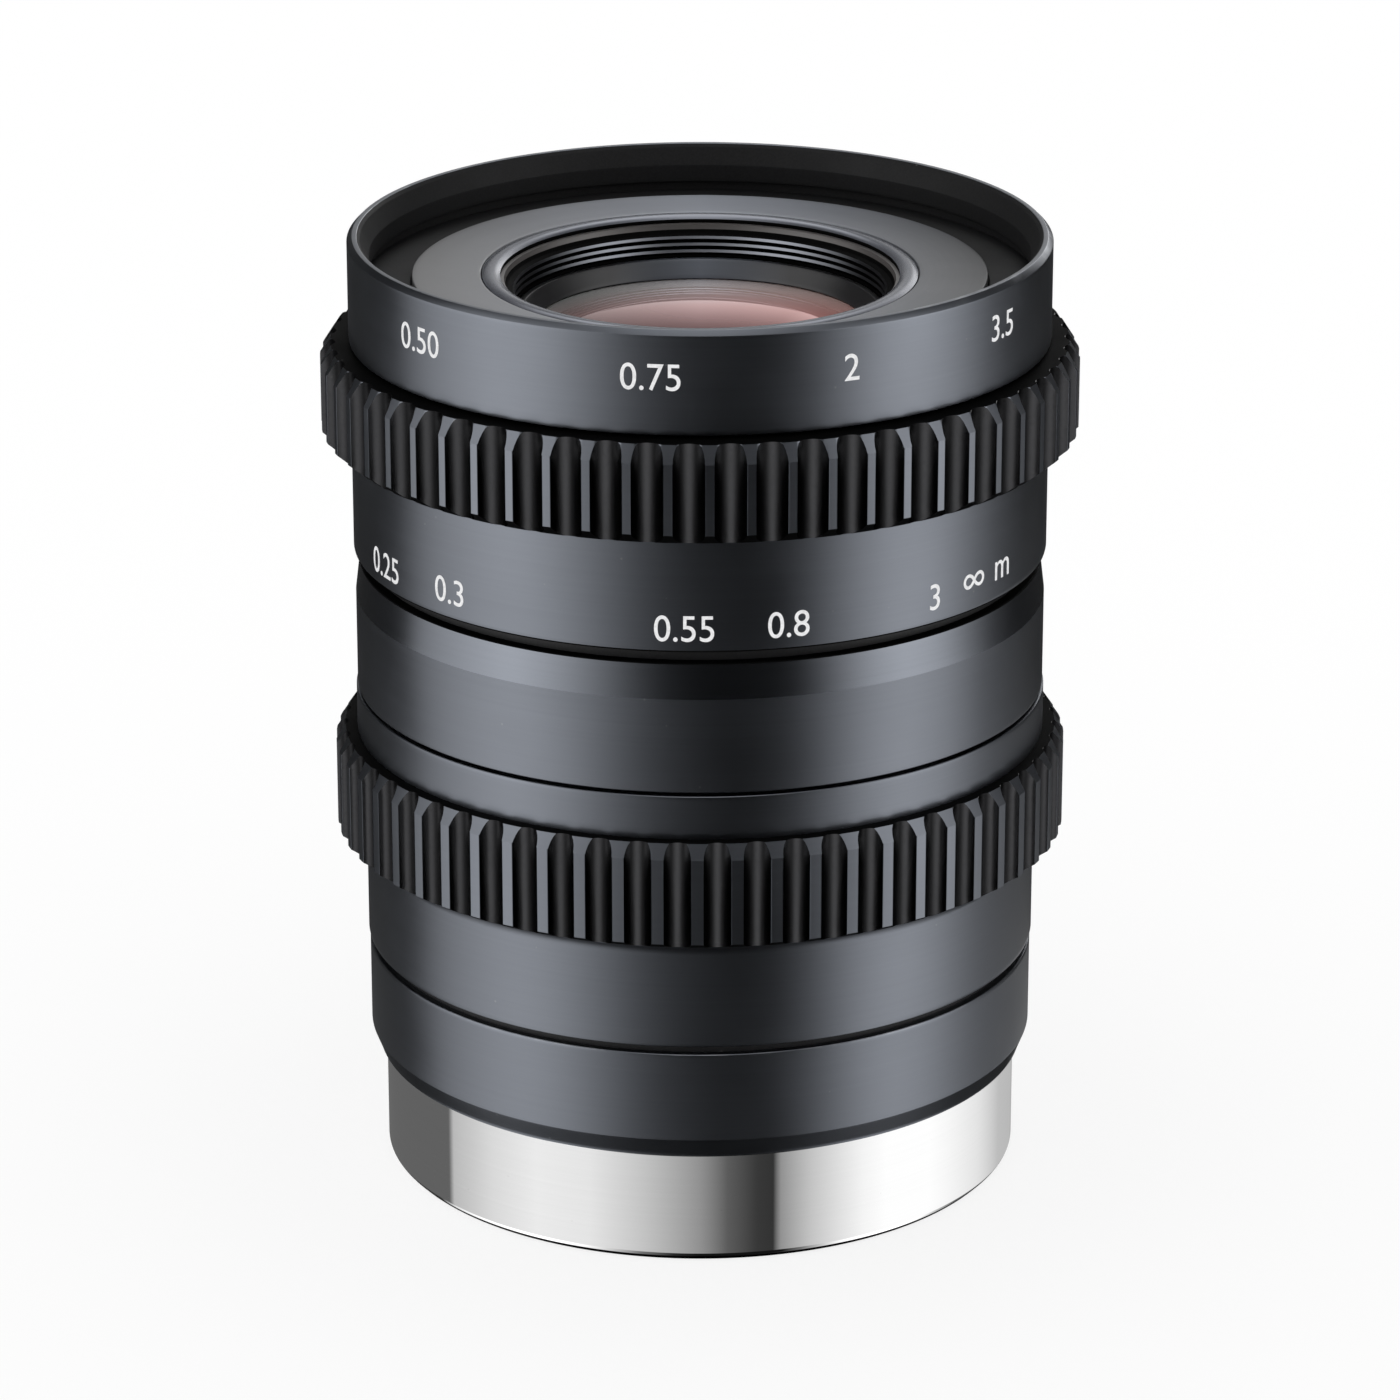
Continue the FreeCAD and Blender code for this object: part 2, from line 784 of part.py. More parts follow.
def blade_azimuths():
    """Azimuth of each leaf's pivot."""
    return [blade_first_azimuth + i * 360.0 / blade_count for i in range(blade_count)]


def make_iris_plate():
    """Fixed plate with the round opening and a pivot hole for each leaf."""
    plate = ring(aperture_radius, front_cell_radius, iris_plate_z, iris_plate_top)
    hole = Part.makeCylinder(
        blade_pin_radius + pin_clearance,
        iris_plate_thickness,
        V(pivot_circle, 0, iris_plate_z),
    )
    return plate.cut(around(hole, blade_count, blade_first_azimuth))


def blade_z(index):
    """Underside of a leaf: each lies on its own level."""
    return cam_ring_top + blade_gap + index * blade_pitch


def drive_pin_point(share=0.0):
    """Drive pin of a leaf whose pivot is on +X, after a share of its swing."""
    azimuth = math.radians(drive_pin_azimuth)
    pivot = V(pivot_circle, 0, 0)
    arm = V(drive_pin_circle * math.cos(azimuth), drive_pin_circle * math.sin(azimuth), 0) - pivot
    turn = FreeCAD.Rotation(UP, blade_swing * share)
    return pivot + turn.multVec(arm)


def make_blade(index):
    """Thin curved leaf with a tab for its two pins."""
    level = V(0, 0, blade_z(index))
    inner = Part.makeCylinder(blade_open_radius, blade_thickness, level, UP, blade_arc_degrees)
    outer = Part.makeCylinder(blade_outer_radius, blade_thickness, level, UP, blade_arc_degrees)
    body = outer.cut(inner)
    pivot = V(pivot_circle, 0, 0)
    drive = drive_pin_point()
    along = (drive - pivot).normalize()
    across = V(-along.y, along.x, 0) * blade_boss_radius
    corners = [pivot - across, drive - across, drive + across, pivot + across]
    web = Part.Face(Part.makePolygon(corners + corners[:1])).extrude(UP * blade_thickness)
    web.translate(level)
    body = body.fuse(web)
    body = body.fuse(Part.makeCylinder(blade_boss_radius, blade_thickness, level + pivot))
    body = body.fuse(Part.makeCylinder(blade_shoulder_radius, blade_thickness, level + drive))
    hole_radius = blade_pin_radius + hole_clearance
    for centre in (pivot, drive):
        body = body.cut(Part.makeCylinder(hole_radius, blade_thickness, level + centre))
    return at_azimuth(body.removeSplitter(), blade_azimuths()[index])


def make_blade_pins(index):
    """Pivot pin, up into the plate, and drive pin, down into the cam ring."""
    bottom = blade_z(index)
    top = iris_plate_top - blade_gap
    foot = cam_ring_z + blade_gap
    pivot = V(pivot_circle, 0, bottom)
    drive = drive_pin_point() + V(0, 0, foot)
    pins = [
        Part.makeCylinder(blade_pin_radius, top - bottom, pivot),
        Part.makeCylinder(blade_pin_radius, bottom + blade_thickness - foot, drive),
    ]
    return at_azimuth(Part.makeCompound(pins), blade_azimuths()[index])


def cam_slot():
    """Slot tool that drives a leaf evenly: the drive pin's path, seen from the cam ring."""
    half_width = blade_pin_radius + pin_clearance
    path = []
    for i in range(cam_slot_samples):
        share = i / (cam_slot_samples - 1)
        path.append(at_turn(drive_pin_point(share), -iris_turn * share))
    left = []
    right = []
    for i, point in enumerate(path):
        ahead = path[min(i + 1, len(path) - 1)] - path[max(i - 1, 0)]
        side = V(-ahead.y, ahead.x, 0).normalize() * half_width
        left.append(point + side)
        right.append(point - side)
    start_cap = path[0] - (path[1] - path[0]).normalize() * half_width
    end_cap = path[-1] + (path[-1] - path[-2]).normalize() * half_width
    edges = [
        smooth_edge(left),
        Part.Arc(left[-1], end_cap, right[-1]).toShape(),
        smooth_edge(right[::-1]),
        Part.Arc(right[0], start_cap, left[0]).toShape(),
    ]
    tool = Part.Face(Part.Wire(edges)).extrude(UP * (cam_ring_thickness * 2))
    tool.translate(V(0, 0, cam_ring_z - cam_ring_thickness / 2))
    return tool


def at_turn(point, degrees):
    """A point turned about the axis."""
    return FreeCAD.Rotation(UP, degrees).multVec(point)


def smooth_edge(points):
    """One smooth edge through points."""
    curve = Part.BSplineCurve()
    curve.interpolate(points)
    return curve.toShape()


def fork_screw_azimuths():
    """The two screws that hold the fork, either side of its middle."""
    spread = math.degrees(fork_screw_spacing / 2 / ((fork_inner + fork_outer) / 2))
    return (iris_pin_azimuth - spread, iris_pin_azimuth + spread)


def make_cam_ring():
    """Ring with a curved slot for each leaf, and holes for the fork's screws."""
    body = ring(cam_ring_bore, cam_ring_radius, cam_ring_z, cam_ring_top)
    body = body.cut(around(cam_slot(), blade_count, blade_first_azimuth))
    for azimuth in fork_screw_azimuths():
        body = body.cut(at_azimuth(fork_screw(hole_clearance), azimuth))
    return body


def fork_screw(growth=0.0):
    """Countersunk screw down through the cam ring, or the tool for its hole."""
    middle = (fork_inner + fork_outer) / 2
    head_z = cam_ring_top - fork_screw_head_height
    shank = Part.makeCylinder(
        fork_screw_radius + growth,
        head_z - cam_ring_z + fork_screw_depth + growth,
        V(middle, 0, cam_ring_z - fork_screw_depth - growth),
    )
    head_radius = fork_screw_head_radius + growth
    head = Part.makeCylinder(head_radius, fork_screw_head_height, V(middle, 0, head_z))
    return shank.fuse(head)


def make_fork_screws():
    """Both screws of the fork."""
    screws = [at_azimuth(fork_screw(), azimuth) for azimuth in fork_screw_azimuths()]
    return Part.makeCompound(screws)


def make_fork():
    """Curved strip under the cam ring, with a slot that lets the focus travel pass."""
    half = math.degrees(fork_width / 2 / fork_outer)
    corners = [
        V(fork_inner, 0, fork_foot_z),
        V(fork_outer, 0, fork_foot_z),
        V(fork_outer, 0, cam_ring_z),
        V(fork_inner, 0, cam_ring_z),
    ]
    strip = Part.Face(Part.makePolygon(corners + corners[:1])).revolve(CENTRE, UP, 2 * half)
    strip = at_azimuth(strip, -half)
    slot = radial_slot(
        iris_pin_radius + pin_clearance,
        fork_inner - 1,
        fork_outer + 1,
        fork_foot_z - fork_width,
        iris_pin_z + pin_clearance,
    )
    strip = at_azimuth(strip.cut(slot), iris_pin_azimuth)
    for azimuth in fork_screw_azimuths():
        strip = strip.cut(at_azimuth(fork_screw(hole_clearance), azimuth))
    return strip


def make_rear_cell():
    """Cell of the rear glass: nose, flange against the sliding tube, thread and neck."""
    thread_top = fork_foot_z - fork_foot_clearance
    flange_z = optical_barrel_foot - rear_cell_flange_height
    retainer_pocket = element_4_radius + rear_pair_thread
    pair_pocket = element_4_radius + glass_clearance
    rear_pocket = element_6_radius + glass_clearance
    return turned(
        (rear_pocket + rear_mouth_chamfer, rear_nose_z),
        (rear_cell_radius - edge_break, rear_nose_z),
        (rear_cell_radius, rear_nose_z + edge_break),
        (rear_cell_radius, flange_z),
        (rear_cell_flange_radius, flange_z),
        (rear_cell_flange_radius, optical_barrel_foot),
        (rear_cell_radius, optical_barrel_foot),
        (rear_cell_radius, thread_top),
        (rear_cell_neck, thread_top),
        (rear_cell_neck, rear_cell_top),
        (retainer_pocket, rear_cell_top),
        (retainer_pocket, element_4_rim),
        (pair_pocket, element_4_rim),
        (pair_pocket, rear_seat_top),
        (rear_seat_radius, rear_seat_top),
        (rear_seat_radius, rear_seat_foot),
        (rear_pocket, rear_seat_foot),
        (rear_pocket, rear_nose_z + rear_mouth_chamfer),
    )


def make_stop_retaining_ring():
    """Ring on top of the rear pair."""
    outer = element_4_radius + rear_pair_thread - thread_clearance
    top = rear_cell_top - touch_clearance
    return ring(outer - stop_retainer_width, outer, element_4_rim + touch_clearance, top)


def make_element_4():
    """Hollow half of the rear pair."""
    middle, edge = surface(element_4_front, -element_4_front_curve, element_4_hollow_radius)
    return turned(
        (0, element_4_rear),
        (element_4_radius, element_4_rear),
        (element_4_radius, element_4_rim),
        edge,
        (middle, (0, element_4_front)),
    )


def make_element_5():
    """Bulged half of the rear pair."""
    middle, edge = surface(element_5_rear, -element_5_rear_curve, element_4_radius)
    rim = (element_4_radius, element_4_rear)
    return turned((0, element_5_rear), (middle, edge), rim, (0, element_4_rear))


def make_element_6():
    """Rear glass that bulges both ways."""
    return lens(element_6_front, element_6_rear, element_6_curve, -element_6_curve, element_6_radius)


def make_rear_spacer():
    """Tube between the two rear single glasses."""
    return ring(rear_spacer_bore, rear_spacer_radius, rear_spacer_foot, rear_spacer_top)


def make_element_7():
    """Last glass, a meniscus with its bulge up."""
    return lens(
        element_7_front,
        element_7_rear,
        element_7_front_curve,
        element_7_rear_curve,
        element_6_radius,
    )


def make_rear_retaining_ring():
    """Ring behind the last glass, with two slots for a key."""
    outer = element_6_radius - glass_clearance
    bottom = rear_retainer_top - rear_retainer_height
    body = ring(outer - rear_retainer_width, outer, bottom, rear_retainer_top)
    slot = Part.makeBox(
        2 * outer + 2,
        rear_retainer_slot_width,
        rear_retainer_slot_depth,
        V(-outer - 1, -rear_retainer_slot_width / 2, bottom),
    )
    return body.cut(slot)


def save(name, shape):
    """Write one node."""
    shape.exportStep(os.path.join("parts", name + ".step"))


def main():
    """Build every node."""
    os.makedirs("parts", exist_ok=True)
    save("mount_ring", make_mount_ring())
    save("rear_barrel", make_rear_barrel())
    save("main_barrel", make_main_barrel())
    save("iris_washer", make_washer(rear_barrel_length, iris_washer_gap, iris_washer_width))
    save("focus_washer", make_washer(middle_band_top, focus_washer_gap, focus_washer_width))
    save("focus_snap_ring", make_snap_ring())
    save("iris_ring", make_iris_ring())
    save("iris_drive_pin", make_iris_drive_pin())
    save("focus_ring", make_focus_ring())
    save("optical_barrel", make_optical_barrel())
    save("cam_follower_pins", make_follower_pins())
    save("front_barrel", make_front_barrel())
    save("name_ring", make_name_ring())
    save("front_cell", make_front_cell())
    save("front_retaining_ring", make_front_retaining_ring())
    save("lens_element_1", make_element_1())
    save("front_spacer", make_front_spacer())
    save("lens_element_2", make_element_2())
    save("lens_element_3", make_element_3())
    save("iris_spacer", make_iris_spacer())
    save("iris_plate", make_iris_plate())
    for index in range(blade_count):
        save("iris_blade_%d" % (index + 1), make_blade(index))
        save("iris_blade_pins_%d" % (index + 1), make_blade_pins(index))
    save("iris_cam_ring", make_cam_ring())
    save("iris_fork", make_fork())
    save("iris_fork_screws", make_fork_screws())
    save("rear_cell", make_rear_cell())
    save("stop_retaining_ring", make_stop_retaining_ring())
    save("lens_element_4", make_element_4())
    save("lens_element_5", make_element_5())
    save("lens_element_6", make_element_6())
    save("rear_spacer", make_rear_spacer())
    save("lens_element_7", make_element_7())
    save("rear_retaining_ring", make_rear_retaining_ring())


main()
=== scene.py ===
import math

import bmesh
import bpy
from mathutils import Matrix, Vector


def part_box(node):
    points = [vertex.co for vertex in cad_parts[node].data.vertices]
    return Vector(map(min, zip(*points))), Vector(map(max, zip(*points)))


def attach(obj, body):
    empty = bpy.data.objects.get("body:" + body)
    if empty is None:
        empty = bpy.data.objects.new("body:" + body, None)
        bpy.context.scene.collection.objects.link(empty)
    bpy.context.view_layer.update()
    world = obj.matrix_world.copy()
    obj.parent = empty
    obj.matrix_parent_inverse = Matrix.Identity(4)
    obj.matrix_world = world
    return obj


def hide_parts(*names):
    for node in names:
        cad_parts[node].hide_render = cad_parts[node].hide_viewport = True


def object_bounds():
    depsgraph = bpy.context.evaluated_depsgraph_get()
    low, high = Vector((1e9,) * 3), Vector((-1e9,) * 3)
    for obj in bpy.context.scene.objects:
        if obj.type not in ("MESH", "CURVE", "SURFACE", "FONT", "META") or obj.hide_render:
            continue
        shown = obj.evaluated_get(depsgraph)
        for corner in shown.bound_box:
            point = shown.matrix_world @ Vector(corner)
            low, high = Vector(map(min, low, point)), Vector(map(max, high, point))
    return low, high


bl_info = {
    "name": "Machine Vision Lens",
    "version": (1, 0, 0),
    "blender": (4, 5, 0),
    "location": "View3D > Sidebar > Lens",
    "description": "Dresses the packed frame of a machine vision lens",
    "category": "Object",
}

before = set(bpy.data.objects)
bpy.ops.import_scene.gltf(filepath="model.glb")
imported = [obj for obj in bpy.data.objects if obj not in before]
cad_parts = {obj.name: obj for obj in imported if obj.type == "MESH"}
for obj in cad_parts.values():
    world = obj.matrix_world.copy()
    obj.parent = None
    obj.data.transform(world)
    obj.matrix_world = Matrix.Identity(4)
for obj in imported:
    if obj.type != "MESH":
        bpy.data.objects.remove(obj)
CAD_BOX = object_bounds()

# Outlines are (radius, height) in millimetres, with the axis on Z and the seat of the mount at 0.
# They run anticlockwise, from the foot of the bore outwards and up.
MM = 0.001
SEGMENTS = 240
GLASS_SEGMENTS = 120
# A flatter corner than this stays as it is when the edges are rounded.
LEAST_BEND = math.radians(15)
# The black finishes blunt an edge more than the bright ones do.
BLUNT = 1.4
# Distance from the axis, in millimetres, over which painted shade darkens the glass coat towards
# its near side.
FADE_REACH = 3.6
# How far the painted shade under the focus ring comes round the edges beside it.
GAP_EDGE = 0.075
# Wall of the focus ring at the band that carries the distance scale.
SCALE_WALL = 0.92


def foot(node):
    """Lowest height of a CAD node, in millimetres."""
    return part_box(node)[0].z / MM


def top(node):
    """Greatest height of a CAD node, in millimetres."""
    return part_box(node)[1].z / MM


def radii(node):
    """Least and greatest distance of a CAD node from the axis, in millimetres."""
    reach = [math.hypot(v.co.x, v.co.y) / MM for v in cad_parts[node].data.vertices]
    return min(reach), max(reach)


def span(node):
    """Inner and outer radius, lowest and greatest height of a CAD node, in millimetres."""
    return (*radii(node), foot(node), top(node))


def edge_round(context):
    """Radius that breaks each machined edge, in millimetres."""
    return context.scene.lens_sizes.edge_round / MM


def length(name, description, millimetres):
    """Length property whose default is given in millimetres."""
    default = millimetres * MM
    return bpy.props.FloatProperty(
        name=name, description=description, default=default, min=0.0, precision=5, unit="LENGTH"
    )


def colour(name, description, red, green, blue):
    """Colour property."""
    default = (red, green, blue)
    return bpy.props.FloatVectorProperty(
        name=name, description=description, default=default, min=0.0, max=1.0, subtype="COLOR"
    )


def share(name, description, default):
    """Property between 0 and 1."""
    return bpy.props.FloatProperty(
        name=name, description=description, default=default, min=0.0, max=1.0, subtype="FACTOR"
    )


class LensSizes(bpy.types.PropertyGroup):
    """Sizes of the edges, flutes and printed numbers."""

    edge_round: length("Edge rounding", "Radius that breaks each machined edge", 0.05)
    flute_count: bpy.props.IntProperty(
        name="Flutes", description="Number of flutes round each grip", default=60, min=12
    )
    land_break: length("Land break", "Small chamfer along each land between flutes", 0.025)
    focus_flute_width: length("Focus flute width", "Width of a focus grip flute", 1.2)
    focus_flute_depth: length("Focus flute depth", "Depth of a focus grip flute", 0.61)
    focus_chamfer_top: length("Focus top chamfer", "Depth of the chamfer on the focus grip", 0.42)
    focus_chamfer_rise: length("Focus top rise", "Height of the chamfer on the focus grip", 0.65)
    focus_chamfer_foot: length("Focus foot chamfer", "Depth of the chamfer under the grip", 0.56)
    focus_foot_rise: length("Focus foot rise", "Height of the chamfer under the grip", 0.46)
    iris_flute_width: length("Iris flute width", "Width of an iris grip flute", 1.04)
    iris_flute_depth: length("Iris flute depth", "Depth of an iris grip flute", 0.5)
    iris_chamfer_top: length("Iris top chamfer", "Depth of the chamfer on the iris grip", 0.38)
    iris_chamfer_rise: length("Iris top rise", "Height of the chamfer on the iris grip", 0.55)
    iris_chamfer_foot: length("Iris foot chamfer", "Depth of the chamfer under the grip", 0.46)
    iris_foot_rise: length("Iris foot rise", "Height of the chamfer under the grip", 0.28)
    digit_height: length("Digit height", "Height of the printed numbers", 1.03)
    print_height: length("Print height", "How far the white paint stands proud", 0.012)


class LensColours(bpy.types.PropertyGroup):
    """Colours and gloss of the finishes."""

    barrel: colour("Barrel", "Satin black of the barrels and lands", 0.131, 0.14, 0.158)
    barrel_gloss: share("Barrel roughness", "Roughness of the satin black", 0.3)
    flute: colour("Flute", "Soft black of the flutes", 0.043, 0.043, 0.045)
    recess: colour("Recess", "Matt black of the front recess", 0.008, 0.008, 0.0085)
    chrome: colour("Mount", "Bright plating of the mount cylinder", 0.8, 0.8, 0.8)
    chrome_gloss: share("Mount roughness", "Roughness of the bright plating", 0.03)
    # The flat ring's three greys are painted light and shade: bright and bluish in the middle,
    # duller on the left, darkest on the right.
    ring: colour("Flat ring", "Grey of the flat ring in the recess", 0.235, 0.25, 0.285)
    ring_left: colour("Flat ring, left", "Grey at its left", 0.145, 0.145, 0.147)
    ring_right: colour("Flat ring, right", "Grey at its right", 0.04, 0.041, 0.043)
    cell: colour("Front cell", "Dark grey of the beaded cell", 0.13, 0.137, 0.16)
    step: colour("Step", "Brown grey of the small step in the cell", 0.085, 0.08, 0.078)
    # The retaining ring's bluish grey far and near is painted light; its two sides take painted
    # shade.
    retainer: colour("Retaining ring", "Blued black, far and near", 0.085, 0.095, 0.115)
    retainer_side: colour("Retaining ring, sides", "Black at its two sides", 0.014, 0.014, 0.015)
    # The crests are a painted highlight of bare metal in their middle, with painted shade at their
    # two sides.
    crest_side: colour("Crest, sides", "The crests at their two sides", 0.07, 0.073, 0.08)
    crest: colour("Crest", "Bare metal of the thread crests and thin edges", 0.4, 0.42, 0.47)
    # Painted shade: this flat black is laid where shade falls, in the gaps and on undersides.
    shade: colour("Shade", "Flat black of the gaps and undersides", 0.002, 0.002, 0.002)
    inner: colour("Inside", "Black of the inner parts", 0.012, 0.012, 0.013)
    paint: colour("Paint", "White of the printed numbers", 0.92, 0.92, 0.93)
    steel: colour("Steel", "Pins and leaves", 0.35, 0.35, 0.36)
    brass: colour("Brass", "Follower pins", 0.62, 0.45, 0.2)
    # The coat's colours are a painted reflection from left to right and painted shade from near to
    # far; the inner coat's tint is partly its own and partly painted reflection.
    glass_left: colour("Glass, left", "Grey green of the coat on its left", 0.42, 0.45, 0.44)
    glass: colour("Glass", "Pale rose of the coat in its middle", 0.92, 0.84, 0.83)
    glass_right: colour("Glass, right", "Salmon pink of the coat on its right", 1.0, 0.68, 0.62)
    glass_near: colour("Glass, near", "Dark red of the coat on its near side", 0.12, 0.045, 0.048)
    glass_middle: colour("Glass, middle", "Rose of the coat halfway", 0.78, 0.5, 0.5)
    inner_coat: colour("Inner coat", "Tint of the coat on the inner glass", 0.5, 0.36, 0.34)


class StudioSettings(bpy.types.PropertyGroup):
    """Camera, floor and light."""

    camera_distance: length("Camera distance", "From the axis to the camera, level", 224.6)
    camera_height: length("Camera height", "Above the seat of the mount", 96.0)
    camera_tilt: bpy.props.FloatProperty(
        name="Camera tilt",
        description="How far the camera looks down",
        default=math.radians(20.05),
        subtype="ANGLE",
    )
    focal_length: bpy.props.FloatProperty(
        name="Focal length", description="Of the camera", default=154.15, min=1.0, unit="CAMERA"
    )
    floor_radius: length("Floor radius", "Radius of the pale floor", 4000.0)
    floor: colour("Floor", "Pale colour of the floor", 0.9, 0.9, 0.9)
    shadow: share("Shadow", "How much of the floor's shadow the camera sees", 0.3)
    panels: bpy.props.FloatProperty(
        name="Panels", description="Strength of the light that metal mirrors", default=1.0, min=0.0
    )


def arc(vertex, curve, radius, steps=24):
    """Points of a spherical face that bulges upwards, from its vertex out to a radius."""
    reach = [radius * i / steps for i in range(steps + 1)]
    return [(r, vertex - (curve - math.sqrt(curve * curve - r * r))) for r in reach]


def rounded(stops, size, closed=True, steps=3):
    """Outline with a small arc on each outer corner."""
    points = []
    for i, stop in enumerate(stops):
        corner = Vector(stop)
        came = corner - Vector(stops[i - 1])
        goes = Vector(stops[(i + 1) % len(stops)]) - corner
        end = not closed and i in (0, len(stops) - 1)
        short = min(came.length, goes.length) < 1e-6
        outer = came.x * goes.y - came.y * goes.x > 0
        if end or short or not outer or came.angle(goes) < LEAST_BEND:
            points.append(stop)
            continue
        tangent = size * math.tan(came.angle(goes) / 2)
        cut = min(tangent, 0.4 * came.length, 0.4 * goes.length)
        start = corner - came.normalized() * cut
        finish = corner + goes.normalized() * cut
        for k in range(steps + 1):
            t = k / steps
            spot = start * (1 - t) ** 2 + corner * 2 * t * (1 - t) + finish * t * t
            points.append((spot.x, spot.y))
    return held(points, closed)


def held(points, closed=True, margin=0.12):
    """Outline with extra points near the ends of long runs, so that shading keeps to edges."""
    out = []
    for i, point in enumerate(points):
        out.append(point)
        if not closed and i == len(points) - 1:
            break
        start, finish = Vector(point), Vector(points[(i + 1) % len(points)])
        run = finish - start
        if run.length > 4 * margin:
            for spot in (start + run.normalized() * margin, finish - run.normalized() * margin):
                out.append((spot.x, spot.y))
    return out


def piece(name, mesh, body, slot, materials, nodes=()):
    """Object made from a mesh, that rides on a body and takes the place of CAD nodes."""
    old = bpy.data.objects.get(name)
    if old:
        bpy.data.objects.remove(old)
    made = bpy.data.objects.new(name, mesh)
    bpy.context.scene.collection.objects.link(made)
    for material in materials:
        mesh.materials.append(material)
    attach(made, body)
    if nodes:
        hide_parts(*nodes)
    return made


def skin(name, rows, slot_at=None, crease=32):
    """Closed mesh over rows of points that each run once round the axis.

    The function slot_at gives the number of a face's material from its row and column.
    """
    turns = len(rows[0])
    mesh = bpy.data.meshes.new(name)
    build = bmesh.new()
    verts = [[build.verts.new(Vector(p) * MM) for p in row] for row in rows]
    for j, row in enumerate(verts):
        following = verts[(j + 1) % len(verts)]
        for i in range(turns):
            k = (i + 1) % turns
            face = build.faces.new((row[i], row[k], following[k], following[i]))
            face.smooth = True
            if slot_at:
                face.material_index = slot_at(j, i)
    bmesh.ops.remove_doubles(build, verts=build.verts, dist=3e-8)
    flat = [f for f in build.faces if f.calc_area() < 1e-16]
    bmesh.ops.delete(build, geom=flat, context="FACES")
    build.to_mesh(mesh)
    build.free()
    mesh.set_sharp_from_angle(angle=math.radians(crease))
    return mesh


def weighted(made):
    """Keeps the wide faces of a machined piece flat or round up to their edges."""
    hold = made.modifiers.new("weighted_normals", "WEIGHTED_NORMAL")
    hold.keep_sharp = True
    hold.weight = 80


def lathe(name, outline, segments=SEGMENTS, crease=32):
    """Mesh turned about the axis; a bend sharper than the crease angle stays crisp."""
    rows = []
    for r, z in outline:
        step = 2 * math.pi / segments
        rows.append([(r * math.cos(i * step), r * math.sin(i * step), z) for i in range(segments)])
    return skin(name, rows, crease=crease)


def turned(node, outline, body, slot, finishes, ending="_turned", crease=32):
    """Mesh of a turned piece that takes the place of a CAD node."""
    mesh = lathe(node + ending, outline, crease=crease)
    weighted(piece(node + ending, mesh, body, slot, finishes, [node]))
    return mesh


def flute_columns(radius, width, depth, azimuth, flutes, land_break):
    """Azimuth and outer radius of each column round a fluted grip."""
    size = (width * width / 4 + depth * depth) / (2 * depth)
    centre = radius - depth + size
    flute_steps, land_steps = 14, 4
    edge = math.atan2(size, centre)
    pitch = 2 * math.pi / flutes
    broken = land_break / radius
    single = []
    for i in range(flute_steps + 1):
        angle = math.pi * (i / flute_steps - 0.5)
        x, y = centre - size * math.cos(angle), size * math.sin(angle)
        single.append((math.atan2(y, x), math.hypot(x, y)))
    single.append((edge, radius - land_break))
    for i in range(land_steps + 1):
        single.append((edge + broken + (pitch - 2 * edge - 2 * broken) * i / land_steps, radius))
    single.append((pitch - edge, radius - land_break))
    columns = []
    for i in range(flutes):
        start = math.radians(azimuth) + i * pitch
        columns += [(start + a, r) for a, r in single]
    return columns


def fluted_ring(name, below, above, grip, columns):
    """Ring with a fluted grip between the plain outline below it and the one above it.

    Its materials are that of the lands, that of the flutes and the painted shade of the gaps
    beside the grip.
    """
    land, flute, shaded_gap = range(3)
    lip = 0.04
    radius, low, high, foot_chamfer, foot_rise, top_chamfer, rise = grip
    slope, foot_slope = rise / top_chamfer, foot_rise / foot_chamfer
    rows = []

    def plain(stops):
        for r, z in stops:
            rows.append([(r * math.cos(a), r * math.sin(a), z) for a, _ in columns])

    def follow(limit, height):
        row = []
        for a, reach in columns:
            r = min(reach, limit)
            row.append((r * math.cos(a), r * math.sin(a), height(r)))
        rows.append(row)

    plain(below)
    first = len(rows)
    follow(radius - foot_chamfer, lambda r: low)
    follow(radius, lambda r: low + foot_slope * max(0.0, r - radius + foot_chamfer))
    follow(radius, lambda r: low + foot_rise + 0.1)
    follow(radius, lambda r: high - rise - 0.1)
    follow(radius, lambda r: high - slope * max(0.0, r - radius + top_chamfer))
    follow(radius - top_chamfer, lambda r: high)
    plain(above)

    def slot_at(j, i):
        # The rows at the grip's foot and top take painted shade.
        if first - 1 <= j <= first or j == first + 5:
            return shaded_gap
        lower = min(columns[i][1], columns[(i + 1) % len(columns)][1])
        return flute if first < j < first + 4 and lower < radius - lip else land

    return skin(name, rows, slot_at)


def refinish(mesh, low, high, slot, within=math.inf):
    """Gives the faces between two heights, and within a radius, another material."""
    for face in mesh.polygons:
        out = math.hypot(face.center.x, face.center.y) / MM
        if low < face.center.z / MM < high and out < within:
            face.material_index = slot


def place(tree, kind, inputs=None, **settings):
    """New node with its settings; an input that is a socket is linked to it."""
    made = tree.nodes.new(kind)
    for key, value in settings.items():
        setattr(made, key, value)
    for key, value in (inputs or {}).items():
        if isinstance(value, bpy.types.NodeSocket):
            tree.links.new(value, made.inputs[key])
        else:
            made.inputs[key].default_value = value
    return made


def maths(tree, operation, *values):
    """Output of a Math node over sockets and numbers."""
    made = place(tree, "ShaderNodeMath", dict(enumerate(values)), operation=operation)
    return made.outputs[0]


def mapped(tree, value, low, high, out_low=0.0, out_high=1.0, smooth=False):
    """Output of a clamped Map Range node."""
    inputs = {0: value, 1: low, 2: high, 3: out_low, 4: out_high}
    kind = "SMOOTHSTEP" if smooth else "LINEAR"
    return place(tree, "ShaderNodeMapRange", inputs, interpolation_type=kind).outputs[0]


def product(tree, first, *others):
    """Product of sockets and numbers, from left to right."""
    for other in others:
        first = maths(tree, "MULTIPLY", first, other)
    return first


def split(tree, vector):
    """X, Y and Z of a vector."""
    return place(tree, "ShaderNodeSeparateXYZ", {0: vector}).outputs


def spot_on(tree):
    """Place on the surface, in the object's own coordinates."""
    return place(tree, "ShaderNodeTexCoord").outputs["Object"]


